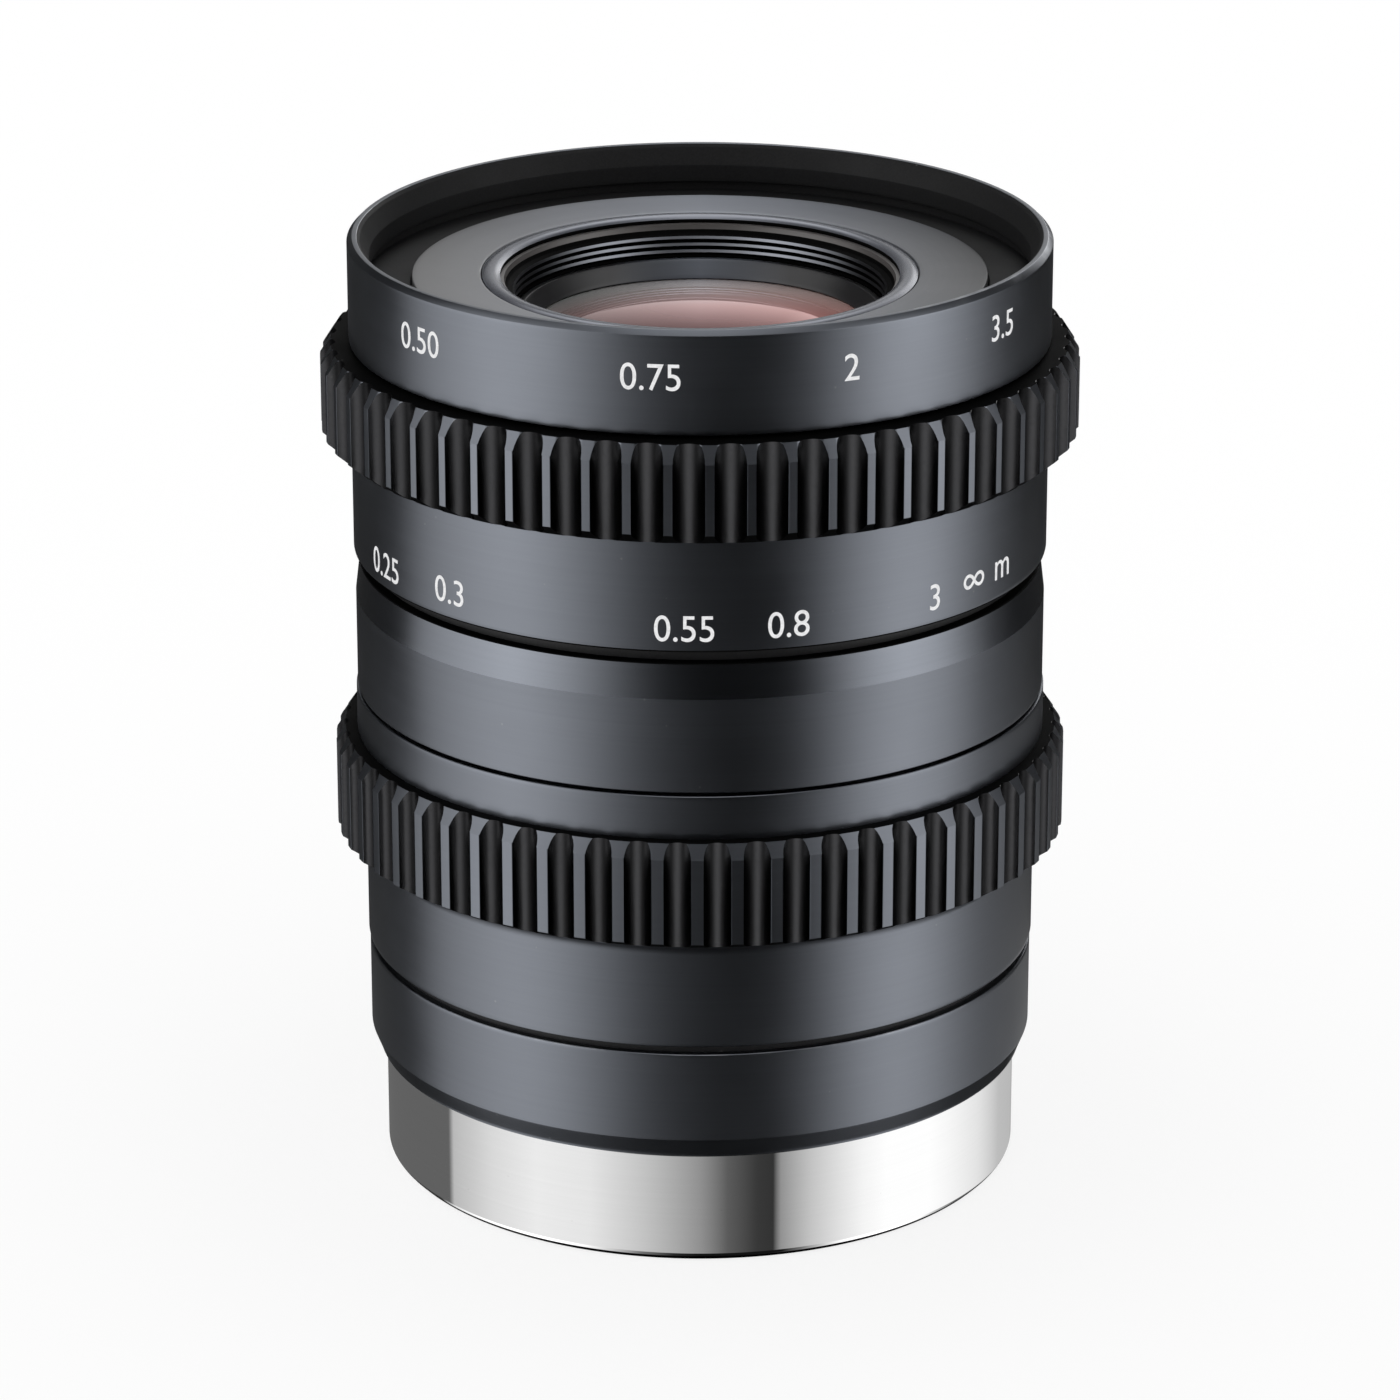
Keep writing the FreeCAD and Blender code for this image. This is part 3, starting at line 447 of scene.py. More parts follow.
def noise(tree, spot, scale, detail=3.0):
    """Output of a Noise node, whose scale is in waves per metre."""
    inputs = {"Vector": spot, "Scale": scale, "Detail": detail}
    return place(tree, "ShaderNodeTexNoise", inputs).outputs[0]


def bump(tree, height, distance, strength=1.0):
    """Normal output of a Bump node, whose distance is in metres."""
    inputs = {"Height": height, "Strength": strength, "Distance": distance}
    return place(tree, "ShaderNodeBump", inputs).outputs[0]


def new_group(name, inputs, outputs):
    """Empty node group with named float sockets, its input node and its output node."""
    tree = bpy.data.node_groups.new(name, "ShaderNodeTree")
    for label, default in inputs.items():
        socket = tree.interface.new_socket(label, in_out="INPUT", socket_type="NodeSocketFloat")
        socket.default_value = default
    for label in outputs:
        tree.interface.new_socket(label, in_out="OUTPUT", socket_type="NodeSocketFloat")
    return tree, tree.nodes.new("NodeGroupInput"), tree.nodes.new("NodeGroupOutput")


def turning_marks():
    """Fine rings left by the lathe tool, which run round the axis."""
    inputs = {"Lines": 9000.0, "Contrast": 0.2}
    tree, come, go = new_group("turning_marks", inputs, ("Height", "Shade"))
    parts = split(tree, spot_on(tree))
    lines, slow = come.outputs["Lines"], 60.0
    across = maths(tree, "MULTIPLY", parts[0], parts[0])
    across = maths(tree, "MULTIPLY_ADD", parts[1], parts[1], across)
    radial = maths(tree, "MULTIPLY", maths(tree, "SQRT", across), lines)
    axial = maths(tree, "MULTIPLY", parts[2], lines)
    side = maths(tree, "MULTIPLY", parts[0], slow)
    depth = maths(tree, "MULTIPLY", parts[1], slow)
    vector = place(tree, "ShaderNodeCombineXYZ", {0: radial, 1: axial, 2: side}).outputs[0]
    inputs = {"Vector": vector, "W": depth, "Scale": 1.0, "Detail": 2.0, "Roughness": 0.6}
    rings = place(tree, "ShaderNodeTexNoise", inputs, noise_dimensions="4D").outputs[0]
    shade = maths(tree, "SUBTRACT", rings, 0.5)
    shade = maths(tree, "MULTIPLY_ADD", shade, come.outputs["Contrast"], 1.0)
    tree.links.new(rings, go.inputs["Height"])
    tree.links.new(shade, go.inputs["Shade"])
    return tree


def worn_edges():
    """Mask of edges that handling has brightened."""
    inputs = {"Reach": 0.06, "Amount": 0.5}
    tree, come, go = new_group("worn_edges", inputs, ("Mask",))
    point = place(tree, "ShaderNodeNewGeometry").outputs["Pointiness"]
    reach = maths(tree, "ADD", come.outputs["Reach"], 0.5)
    edge = mapped(tree, point, 0.515, reach)
    patches = mapped(tree, noise(tree, spot_on(tree), 900.0, 4.0), 0.42, 0.66)
    mask = product(tree, edge, patches, come.outputs["Amount"])
    tree.links.new(mask, go.inputs["Mask"])
    return tree


def fine_dust():
    """Mask of the few small specks on a clean part, and a slow unevenness of its gloss."""
    tree, come, go = new_group("fine_dust", {"Specks": 0.22}, ("Mask", "Cloud"))
    spot = spot_on(tree)
    inputs = {"Vector": spot, "Scale": 2400.0, "Randomness": 1.0}
    cells = place(tree, "ShaderNodeTexVoronoi", inputs).outputs
    small = mapped(tree, cells["Distance"], 0.14, 0.05)
    rare = maths(tree, "GREATER_THAN", split(tree, cells["Color"])[0], 0.97)
    mask = product(tree, small, rare, come.outputs["Specks"])
    tree.links.new(mask, go.inputs["Mask"])
    tree.links.new(noise(tree, spot, 260.0, 5.0), go.inputs["Cloud"])
    return tree


def effect(tree, make, **values):
    """Outputs of a shared effect, a node group that is made when it is first wanted."""
    group = bpy.data.node_groups.get(make.__name__) or make()
    return place(tree, "ShaderNodeGroup", values, node_tree=group).outputs


def blank_material(name):
    """New material with an empty tree."""
    made = bpy.data.materials.new(name)
    made.use_nodes = True
    made.node_tree.nodes.clear()
    return made, made.node_tree


def shared_material(inputs_of):
    """Turns a function for the inputs of a Principled shader into one for the whole material.

    It then takes a name in the place of the tree. The material is made when its name first comes
    up, and handed out again after that.
    """

    def named(name, *values, **options):
        made = bpy.data.materials.get(name)
        if made is None:
            made, tree = blank_material(name)
            shader = place(tree, "ShaderNodeBsdfPrincipled", inputs_of(tree, *values, **options))
            place(tree, "ShaderNodeOutputMaterial", {0: shader.outputs[0]})
        return made

    return named


def grey(tree, value):
    """Grey colour of a number."""
    return place(tree, "ShaderNodeCombineColor", {i: value for i in range(3)}).outputs[0]


def mixed(tree, factor, first, second, blend="MIX"):
    """Colour output between two colours."""
    inputs = {0: factor, 6: first, 7: second}
    return place(tree, "ShaderNodeMix", inputs, data_type="RGBA", blend_type=blend).outputs[2]


def ramp(tree, factor, stops):
    """Output of a ramp of stops, each a place between 0 and 1 with a grey or a colour."""
    made = place(tree, "ShaderNodeValToRGB", {0: factor})
    elements = made.color_ramp.elements
    elements.remove(elements[1])
    for i, (spot, value) in enumerate(stops):
        stop = elements[0] if i == 0 else elements.new(spot)
        stop.position = spot
        stop.color = (value, value, value, 1.0) if isinstance(value, float) else (*value, 1.0)
    return made.outputs[0]


def drifting(tree, axis, reach, tints):
    """Painted light and shade: colour that drifts evenly through the tints along an axis, up to a
    reach on both sides.
    """
    along = split(tree, spot_on(tree))[axis]
    factor = mapped(tree, along, -reach * MM, reach * MM)
    return ramp(tree, factor, [(i / (len(tints) - 1), tint) for i, tint in enumerate(tints)])


@shared_material
def machined(
    tree, tint, roughness, metallic=1.0, lines=9.0, marks=0.2, cut=1.2, wear=0.5, painted_drift=()
):
    """Turned and finished metal: turning marks, brighter worn edges and fine dust.

    Lines is how many turning marks a millimetre holds, marks is their contrast and cut their
    depth in micrometres. A painted drift, a reach and the tints from left to right, takes the
    place of the even tint and paints light and shade across the part.
    """
    grain = effect(tree, turning_marks, Lines=lines / MM, Contrast=marks)
    edges = effect(tree, worn_edges, Amount=wear)
    dust = effect(tree, fine_dust)
    base = drifting(tree, 0, *painted_drift) if painted_drift else (*tint, 1.0)
    bright = tuple(min(1.0, 0.22 + 1.4 * c) for c in tint) + (1.0,)
    toned = mixed(tree, 1.0, base, grey(tree, grain["Shade"]), "MULTIPLY")
    worn = mixed(tree, edges["Mask"], toned, bright)
    dusty = mixed(tree, dust["Mask"], worn, (0.4, 0.39, 0.38, 1.0))
    # A roughness that passes 0.27 within one surface leaves smudges when the picture is
    # cleaned of noise, so the range is narrow and the finishes lie clear of that value.
    cloud = mapped(tree, dust["Cloud"], 0.3, 0.7, 0.96 * roughness, 1.14 * roughness)
    rough = maths(tree, "MULTIPLY", cloud, grain["Shade"])
    rough = maths(tree, "MULTIPLY_ADD", dust["Mask"], 0.4, rough)
    inputs = {"Base Color": dusty, "Roughness": rough, "Metallic": metallic}
    inputs["Normal"] = bump(tree, grain["Height"], cut * 1e-6)
    return inputs


def satin_black(name, colours, wear=0.5):
    """Satin black of the barrels and of the lands between flutes."""
    return machined(name, colours.barrel, colours.barrel_gloss, marks=0.12, cut=0.7, wear=wear)


@shared_material
def fluted_black(tree, tint):
    """Soft black of the flutes, with fine teeth that face upwards and catch the light above."""
    spot = spot_on(tree)
    grain = noise(tree, spot, 9000.0)
    dust = effect(tree, fine_dust)
    speckle = mapped(tree, grain, 0.3, 0.7, 0.85, 1.12)
    tone = mixed(tree, speckle, (0.0, 0.0, 0.0, 1.0), (*tint, 1.0))
    tone = mixed(tree, dust["Mask"], tone, (0.2, 0.2, 0.2, 1.0))
    teeth = maths(tree, "MULTIPLY", split(tree, spot)[2], -1.15)
    teeth = maths(tree, "MULTIPLY_ADD", grain, 2e-6, teeth)
    rough = mapped(tree, dust["Cloud"], 0.3, 0.7, 0.2, 0.25)
    inputs = {"Base Color": tone, "Roughness": rough, "Metallic": 1.0}
    inputs["Normal"] = bump(tree, teeth, 1.0)
    return inputs


@shared_material
def matt_black(tree, tint, roughness=0.6, level=0.25):
    """Matt black paint with a fine tooth, for the recess, the inside and the painted shade of the
    gaps.
    """
    tooth = noise(tree, spot_on(tree), 12000.0)
    dust = effect(tree, fine_dust)
    dark = tuple(0.75 * c for c in tint) + (1.0,)
    pale = tuple(1.25 * c for c in tint) + (1.0,)
    tone = mixed(tree, mapped(tree, tooth, 0.3, 0.7), dark, pale)
    tone = mixed(tree, dust["Mask"], tone, (0.2, 0.2, 0.2, 1.0))
    rough = mapped(tree, dust["Cloud"], 0.3, 0.7, roughness - 0.06, roughness + 0.08)
    inputs = {"Base Color": tone, "Roughness": rough, "Specular IOR Level": level}
    inputs["Normal"] = bump(tree, tooth, 4e-6, 0.4)
    return inputs


def gap_black(colours):
    """Painted shade: flat black on the gaps between the rings and on undersides."""
    return matt_black("gap_black", colours.shade, level=0.02)


@shared_material
def paint(tree, tint):
    """Paint of the printed numbers, slightly uneven."""
    grain = noise(tree, spot_on(tree), 6000.0)
    thin = tuple(0.86 * c for c in tint) + (1.0,)
    tone = mixed(tree, mapped(tree, grain, 0.35, 0.6), thin, (*tint, 1.0))
    rough = mapped(tree, grain, 0.3, 0.7, 0.45, 0.6)
    inputs = {"Base Color": tone, "Roughness": rough, "Specular IOR Level": 0.2}
    inputs["Normal"] = bump(tree, grain, 3e-6, 0.3)
    return inputs


@shared_material
def coated_glass(tree, reach, tints, fades, clear):
    """Glass with a painted reflection in tints from left to right, and painted shade from near to
    far.

    The metallic share is the strong mirror of the coat, and clear is how much light goes through.
    """
    dust = effect(tree, fine_dust, Specks=0.12)
    tone = drifting(tree, 0, reach, tints)
    tone = mixed(tree, 1.0, tone, drifting(tree, 1, FADE_REACH, fades), "MULTIPLY")
    tone = mixed(tree, dust["Mask"], tone, (0.7, 0.7, 0.7, 1.0))
    rough = maths(tree, "MULTIPLY_ADD", dust["Mask"], 0.5, 0.02)
    inputs = {"Base Color": tone, "Roughness": rough, "Metallic": 0.4}
    inputs["IOR"] = 1.55
    inputs["Transmission Weight"] = clear
    return inputs


def bow(first, middle, last, steps=14):
    """Points of the arc through three points, without the first."""
    a, b, c = Vector(first), Vector(middle), Vector(last)
    d = 2 * (a.x * (b.y - c.y) + b.x * (c.y - a.y) + c.x * (a.y - b.y))
    aa, bb, cc = a.length_squared, b.length_squared, c.length_squared
    x = (aa * (b.y - c.y) + bb * (c.y - a.y) + cc * (a.y - b.y)) / d
    y = (aa * (c.x - b.x) + bb * (a.x - c.x) + cc * (b.x - a.x)) / d
    size = math.hypot(a.x - x, a.y - y)
    start = math.atan2(a.y - y, a.x - x)
    sweep = math.remainder(math.atan2(c.y - y, c.x - x) - start, 2 * math.pi)
    angles = [start + sweep * (i + 1) / steps for i in range(steps)]
    return [(x + size * math.cos(t), y + size * math.sin(t)) for t in angles]


def printed(name, text, body, material, spot, height, proud, narrow):
    """Printed characters that follow the round of the ring they are on.

    The spot is the ring's radius, the azimuth from the front towards +X and the height, the
    sizes in millimetres.
    """
    radius, azimuth, level = spot
    sunk = 0.03
    curve = bpy.data.curves.new(name, "FONT")
    curve.body = text
    curve.extrude = 0.5
    flat = bpy.data.objects.new(name + "_flat", curve)
    bpy.context.scene.collection.objects.link(flat)
    bpy.context.view_layer.update()
    mesh = bpy.data.meshes.new_from_object(flat)
    bpy.data.objects.remove(flat)
    bpy.data.curves.remove(curve)
    build = bmesh.new()
    build.from_mesh(mesh)
    bmesh.ops.remove_doubles(build, verts=build.verts, dist=1e-5)
    low = [min(v.co[i] for v in build.verts) for i in (0, 1)]
    high = [max(v.co[i] for v in build.verts) for i in (0, 1)]
    scale = height / (high[1] - low[1])
    for v in build.verts:
        x = (v.co.x - (low[0] + high[0]) / 2) * scale * narrow
        z = level + (v.co.y - (low[1] + high[1]) / 2) * scale
        r = radius + (proud if v.co.z > 0 else -sunk)
        a = math.radians(azimuth) + x / radius
        v.co = Vector((r * math.sin(a), -r * math.cos(a), z)) * MM
    build.to_mesh(mesh)
    build.free()
    mesh.materials.clear()
    mesh.name = name
    return piece(name, mesh, body, None, [material])


class LENS_OT_mount_ring(bpy.types.Operator):
    """Bright mount cylinder and its neck"""

    bl_idname = "lens.mount_ring"
    bl_label = "Mount ring"

    def execute(self, context):
        bore, reach, low, high = span("mount_ring")
        neck = bore + 0.88
        outline = [
            (bore, low + 0.2), (bore + 0.2, low), (reach - 0.2, low), (reach, low + 0.2),
            (reach, 0.0), (reach - 0.2, 0.0), (reach - 0.2, 0.3), (neck, 0.3), (neck, high),
            (bore, high),
        ]
        outline = rounded(outline, edge_round(context))
        colours, fine = context.scene.lens_colours, {"marks": 0.05, "cut": 0.25, "wear": 0.1}
        bright = machined("bright_plating", colours.chrome, colours.chrome_gloss, **fine)
        turned("mount_ring", outline, "barrel", "mount_chrome", [bright], "_bright")
        return {"FINISHED"}


class LENS_OT_rear_barrel(bpy.types.Operator):
    """Chamfered barrel behind the iris ring"""

    bl_idname = "lens.rear_barrel"
    bl_label = "Rear barrel"

    def execute(self, context):
        bore, reach, _, high = span("rear_barrel")
        tube = radii("main_barrel")[0] + 0.81
        seat = radii("mount_ring")[1] + 0.04
        ledge = 2.58
        outline = [
            (seat, 0.0), (reach - 0.3, 0.0), (reach - 0.3, 0.05), (reach, 0.8), (reach, high),
            (tube, high), (tube, ledge), (bore, ledge), (bore, 0.3), (seat, 0.3),
        ]
        outline = rounded(outline, BLUNT * edge_round(context))
        black = satin_black("satin_black", context.scene.lens_colours)
        turned("rear_barrel", outline, "barrel", "barrel_black", [black])
        return {"FINISHED"}


class LENS_OT_main_barrel(bpy.types.Operator):
    """Plain middle band with its cone, on the tube that the rings turn on"""

    bl_idname = "lens.main_barrel"
    bl_label = "Main barrel"

    def execute(self, context):
        bore, reach, low, high = span("main_barrel")
        tube = bore + 0.77
        band_low = top("iris_ring") + 0.12
        band_high = foot("focus_ring") - 0.5
        cone_low = band_high - 1.4
        groove = top("focus_snap_ring") + 0.01
        groove_low, groove_floor = groove - 0.47, tube - 0.31
        outline = [
            (bore, low), (tube, low), (tube, band_low), (reach, band_low), (reach, cone_low),
            (reach - 0.17, band_high), (tube, band_high), (tube, groove_low),
            (groove_floor, groove_low), (groove_floor, groove), (tube, groove), (tube, high),
            (bore, high),
        ]
        outline = rounded(outline, BLUNT * edge_round(context), steps=10)
        colours = context.scene.lens_colours
        finishes = [
            satin_black("satin_black", colours),
            gap_black(colours),
            machined("cone_satin", colours.barrel, 0.22, marks=0.12, cut=0.7),
        ]
        shaded_gap, cone = 1, 2
        mesh = turned("main_barrel", outline, "barrel", "barrel_black", finishes, crease=6)
        refinish(mesh, cone_low, band_high, cone)
        # Painted shade on the tube above the band and on the band's top edge.
        refinish(mesh, band_high - GAP_EDGE, high, shaded_gap)
        return {"FINISHED"}


def gripped(part, context, below, above, low, high, azimuth, blunt_above=BLUNT):
    """Mesh of the focus or iris ring, with its fluted grip between two heights.

    It takes the outlines below and above the grip and the azimuth of the first flute, in degrees.
    """
    below = rounded(below, BLUNT * edge_round(context), closed=False)
    above = rounded(above, blunt_above * edge_round(context), closed=False)
    sizes, colours = context.scene.lens_sizes, context.scene.lens_colours
    node = part + "_ring"
    reach = radii(node)[1]

    def size(key):
        return getattr(sizes, part + key) / MM

    width, depth, broken = size("_flute_width"), size("_flute_depth"), sizes.land_break / MM
    columns = flute_columns(reach, width, depth, azimuth, sizes.flute_count, broken)
    keys = ("_chamfer_foot", "_foot_rise", "_chamfer_top", "_chamfer_rise")
    grip = (reach, low, high, *map(size, keys))
    mesh = fluted_ring(node + "_fluted", below, above, grip, columns)
    lands = satin_black("grip_satin", colours, 0.0)
    finishes = [lands, fluted_black("flute_black", colours.flute), gap_black(colours)]
    weighted(piece(node + "_fluted", mesh, node, "grip_black", finishes, [node]))
    return mesh


class LENS_OT_iris_ring(bpy.types.Operator):
    """Iris ring with its band, fluted grip and collar"""

    bl_idname = "lens.iris_ring"
    bl_label = "Iris ring"

    def execute(self, context):
        bore, _, low, high = span("iris_ring")
        band, collar = bore + 0.62, bore + 0.92
        grip_low, grip_high = low + 4.43, high - 1.72
        below = [
            (bore, low), (band, low), (band, grip_low - 0.48), (band + 0.12, grip_low - 0.24),
            (band + 0.12, grip_low),
        ]
        above = [(collar, grip_high), (collar, high), (bore, high)]
        gripped("iris", context, below, above, grip_low, grip_high, -87.4)
        return {"FINISHED"}


class LENS_OT_focus_ring(bpy.types.Operator):
    """Focus ring with its scale band and fluted grip"""

    bl_idname = "lens.focus_ring"
    bl_label = "Focus ring"

    def execute(self, context):
        bore, _, low, high = span("focus_ring")
        band, recess = bore + SCALE_WALL, bore + 0.52
        recess_floor = high - 0.75
        grip_low = low + 4.51
        below = [(bore, low), (band, low), (band, grip_low)]
        above = [(recess, high), (recess, recess_floor), (bore, recess_floor)]
        mesh = gripped("focus", context, below, above, grip_low, high, -85.6, blunt_above=1.0)
        shaded_gap = 2
        # Painted shade along the foot of the scale band.
        refinish(mesh, low - 0.1, low + GAP_EDGE, shaded_gap)
        return {"FINISHED"}


class LENS_OT_scale_numbers(bpy.types.Operator):
    """White distance scale on the focus ring and plain numbers on the front barrel"""

    bl_idname = "lens.scale_numbers"
    bl_label = "Scale numbers"

    # name, text, azimuth, height, size as a share of a digit's, how narrow the characters are
    distance_scale = (
        ("scale_0.25", "0.25", -62.5, 21.85, 1.0, 0.94),
        ("scale_0.3", "0.3", -44.2, 22.0, 1.0, 0.94),
        ("scale_0.55", "0.55", -2.5, 21.83, 1.0, 0.94),
        ("scale_0.8", "0.8", 14.1, 21.88, 1.0, 0.94),
        ("scale_3", "3", 40.6, 21.96, 1.0, 0.94),
        ("scale_far", "∞", 49.8, 22.11, 0.58, 1.0),
        ("scale_unit", "m", 57.9, 22.06, 0.72, 1.0),
    )
    front_numbers = (
        ("front_0.50", "0.50", -50.3, 31.6, 1.0, 0.94),
        ("front_0.75", "0.75", -7.7, 31.62, 1.0, 0.94),
        ("front_2", "2", 24.2, 31.68, 1.0, 0.94),
        ("front_3.5", "3.5", 56.4, 31.84, 1.0, 0.94),
    )

    def execute(self, context):
        sizes = context.scene.lens_sizes
        white = paint("white_paint", context.scene.lens_colours.paint)
        digit, proud = sizes.digit_height / MM, sizes.print_height / MM
        for table, radius, body in (
            (self.distance_scale, radii("focus_ring")[0] + SCALE_WALL, "focus_ring"),
            (self.front_numbers, radii("front_barrel")[1], "optical_unit"),
        ):
            for name, text, azimuth, level, tall, narrow in table:
                spot = (radius, azimuth, level)
                printed(name, text, body, white, spot, digit * tall, proud, narrow)
        return {"FINISHED"}


class LENS_OT_front_barrel(bpy.types.Operator):
    """Front barrel with its rim and tapered recess"""

    bl_idname = "lens.front_barrel"
    bl_label = "Front barrel"

    def execute(self, context):
        colours = context.scene.lens_colours
        _, reach, low, high = span("front_barrel")
        skirt = radii("main_barrel")[0] - 0.04
        ledge = radii("name_ring")[1] + 0.04
        mouth, wall = reach - 0.51, reach - 0.85
        groove, groove_low, floor = wall + 0.25, high - 1.9, high - 3.4
        outline = [
            (skirt, low), (reach, low), (reach, high - 0.2), (reach - 0.2, high),
            (mouth + 0.13, high), (mouth, high - 0.13), (wall, high - 0.8), (wall, high - 1.5),
            (groove, high - 1.5), (groove, groove_low), (ledge, groove_low), (ledge, floor),
            (skirt, floor),
        ]
        outline = rounded(outline, edge_round(context))
        shade = matt_black("recess_paint", colours.recess, level=0.18)
        finishes = [satin_black("satin_black", colours), shade]
        mesh = turned("front_barrel", outline, "optical_unit", "barrel_black", finishes)
        recess = 1
        refinish(mesh, high - 2.0, math.inf, recess, within=mouth + 0.06)
        return {"FINISHED"}


class LENS_OT_front_rings(bpy.types.Operator):
    """Flat grey ring, beaded front cell with its thread, and the front retaining ring"""

    bl_idname = "lens.front_rings"
    bl_label = "Front rings"

    def execute(self, context):
        colours = context.scene.lens_colours
        inner, outer, low, high = span("name_ring")
        flat = [(inner, low), (outer, low), (outer, high), (inner, high)]
        # Painted light and shade on the flat ring: its grey drifts from dull on the left through
        # bright in the middle to dark on the right.
        painted_drift = (outer, [colours.ring_left, colours.ring, colours.ring_right])
        coarse = {"metallic": 0.15, "marks": 0.25, "cut": 2.2, "lines": 7.0, "wear": 0.0}
        anodised = machined("flat_ring_anodised", colours.ring, 0.34, painted_drift=painted_drift, **coarse)
        flat = rounded(flat, 1.6 * edge_round(context))
        turned("name_ring", flat, "optical_unit", "ring_grey", [anodised])
        self.cell(colours, inner - 0.04, low)

        inner, outer, low, high = span("front_retaining_ring")
        cone = [(inner, low), (outer, low), (outer, high), (inner + 0.48, high)]
        cone = rounded(cone, edge_round(context))
        # Painted light and shade on the retaining ring: bluish grey far and near, black at its two
        # sides.
        side = colours.retainer_side
        painted_drift = (outer, [side, side, colours.retainer, side, side])
        plain = {"metallic": 0.15, "wear": 0.0}
        painted_blue_light = machined("retainer_blued", colours.retainer, 0.32, painted_drift=painted_drift, **plain)
        turned("front_retaining_ring", cone, "optical_unit", "cell_grey", [painted_blue_light])
        return {"FINISHED"}

    def cell(self, colours, collar, seat):
        """Front cell inside the flat ring, from its collar's radius and the height of its seat."""
        aperture, wide, base, bead_top = span("front_cell")
        bead_low = bead_top - 0.17
        thread, pitch, grooves = bead_top - 0.63, 0.28, 3
        crest, root, wall = collar - 1.01, collar - 1.26, collar - 1.3
        outline = [
            (aperture, base), (wide, base), (wide, seat), (collar, seat),
            (collar, bead_top - 0.1),
        ]
        bead = bow(outline[-1], (collar - 0.34, bead_top), (collar - 0.89, bead_top - 0.38))
        outline += [spot for spot in bead if spot[1] > bead_low]
        outline += [
            (collar - 0.71, bead_top - 0.29), (collar - 0.86, bead_top - 0.31),
            (collar - 0.91, bead_top - 0.5), (crest, thread),
        ]
        for i in range(grooves):
            middle = thread - (i + 0.5) * pitch
            outline.append((root + 0.06, middle + 0.07))
            outline.append((root, middle - 0.03))
            outline.append((crest, thread - (i + 1) * pitch))
        shelf = top("lens_element_1") - 0.96
        pair = radii("lens_element_2")[1] + 0.02
        pocket = radii("lens_element_1")[1] + 0.02
        step = top("lens_element_2") - 2.0
        floor = base + 0.45
        outline += [
            (root, thread - grooves * pitch), (root, shelf), (pocket, shelf), (pocket, step),
            (pair, step), (pair, floor), (aperture, floor),
        ]
        # Painted highlight on the thread crests: bright bare metal in the middle, painted shade at
        # their two sides.
        painted_drift = (collar - 2.5, [colours.crest_side, colours.crest, colours.crest_side])
        fine = {"marks": 0.15, "cut": 0.8}
        finishes = [
            machined("cell_anodised", colours.cell, 0.22, metallic=0.55, wear=0.1, **fine),
            machined("crest_metal", colours.crest, 0.32, wear=0.0, painted_drift=painted_drift, **fine),
            gap_black(colours),
            machined("step_anodised", colours.step, 0.32, metallic=0.2, wear=0.0, **fine),
        ]
        mesh = turned("front_cell", outline, "optical_unit", "cell_grey", finishes)
        lit_crest, shaded_gap, ledge = 1, 2, 3
        # Painted shade: the slope under the bead and the thread roots take flat black, and a band
        # of that slope keeps the step's brown grey.
        for face in mesh.polygons:
            out, height = math.hypot(face.center.x, face.center.y) / MM, face.center.z / MM
            if out < collar - 0.66 and thread < height < bead_low - 0.01:
                on_ledge = bead_top - 0.5 < height < bead_top - 0.295
                face.material_index = ledge if on_ledge else shaded_gap
            # Only groove faces that face upwards take the bright crest metal, a painted highlight;
            # the rest take painted shade.
            elif wall < out < collar - 1.0 and thread - 0.9 < height < thread:
                face.material_index = lit_crest if out < collar - 1.2 and face.normal.z > 0.2 else shaded_gap
            elif wall < out < collar - 1.2 and height < thread:
                face.material_index = shaded_gap


class LENS_OT_glass(bpy.types.Operator):
    """Coated glass, with the faces that can be seen turned finely"""

    bl_idname = "lens.glass"
    bl_label = "Glass"

    def execute(self, context):
        colours = context.scene.lens_colours
        # Painted reflection across the glass from left to right, and painted shade from its near
        # side to its far side.
        tints = [colours.glass_left, colours.glass, colours.glass_right]
        plain = (1.0, 1.0, 1.0)
        fades = [colours.glass_near, colours.glass_middle, plain]
        front = coated_glass("front_coated_glass", 6.0, tints, fades, 0.25)
        tints = [colours.inner_coat, colours.glass_right]
        inner = coated_glass("inner_coated_glass", 4.0, tints, [plain, plain], 0.8)
        # node, thickness on the axis, radius of the upper and of the lower face, material, slot
        shapes = (
            ("lens_element_1", 2.5, 26.0, 60.0, front, "front_glass"),
            ("lens_element_7", 2.2, 20.0, 50.0, inner, "inner_glass"),
            ("lens_element_2", None, 14.0, None, inner, "inner_glass"),
        )
        for node, thick, upper, lower, coat, slot in shapes:
            radius, vertex = radii(node)[1], top(node)
            if lower:
                outline = arc(vertex - thick, lower, radius)
            else:
                outline = [(0.0, foot(node)), (radius, foot(node))]
            outline += reversed(arc(vertex, upper, radius))
            mesh = lathe(node + "_ground", outline, GLASS_SEGMENTS)
            piece(node + "_ground", mesh, "optical_unit", slot, [coat], [node])
        for number in (3, 4, 5, 6):
            dress("lens_element_%d" % number, inner)
        return {"FINISHED"}


def dress(node, material):
    """Gives a CAD node that stays in sight a material, and keeps its round faces smooth."""
    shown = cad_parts[node]
    if not shown.material_slots:
        shown.data.materials.append(material)
    for holder in shown.material_slots:
        holder.material = material
    shown.data.set_sharp_from_angle(angle=math.radians(28))


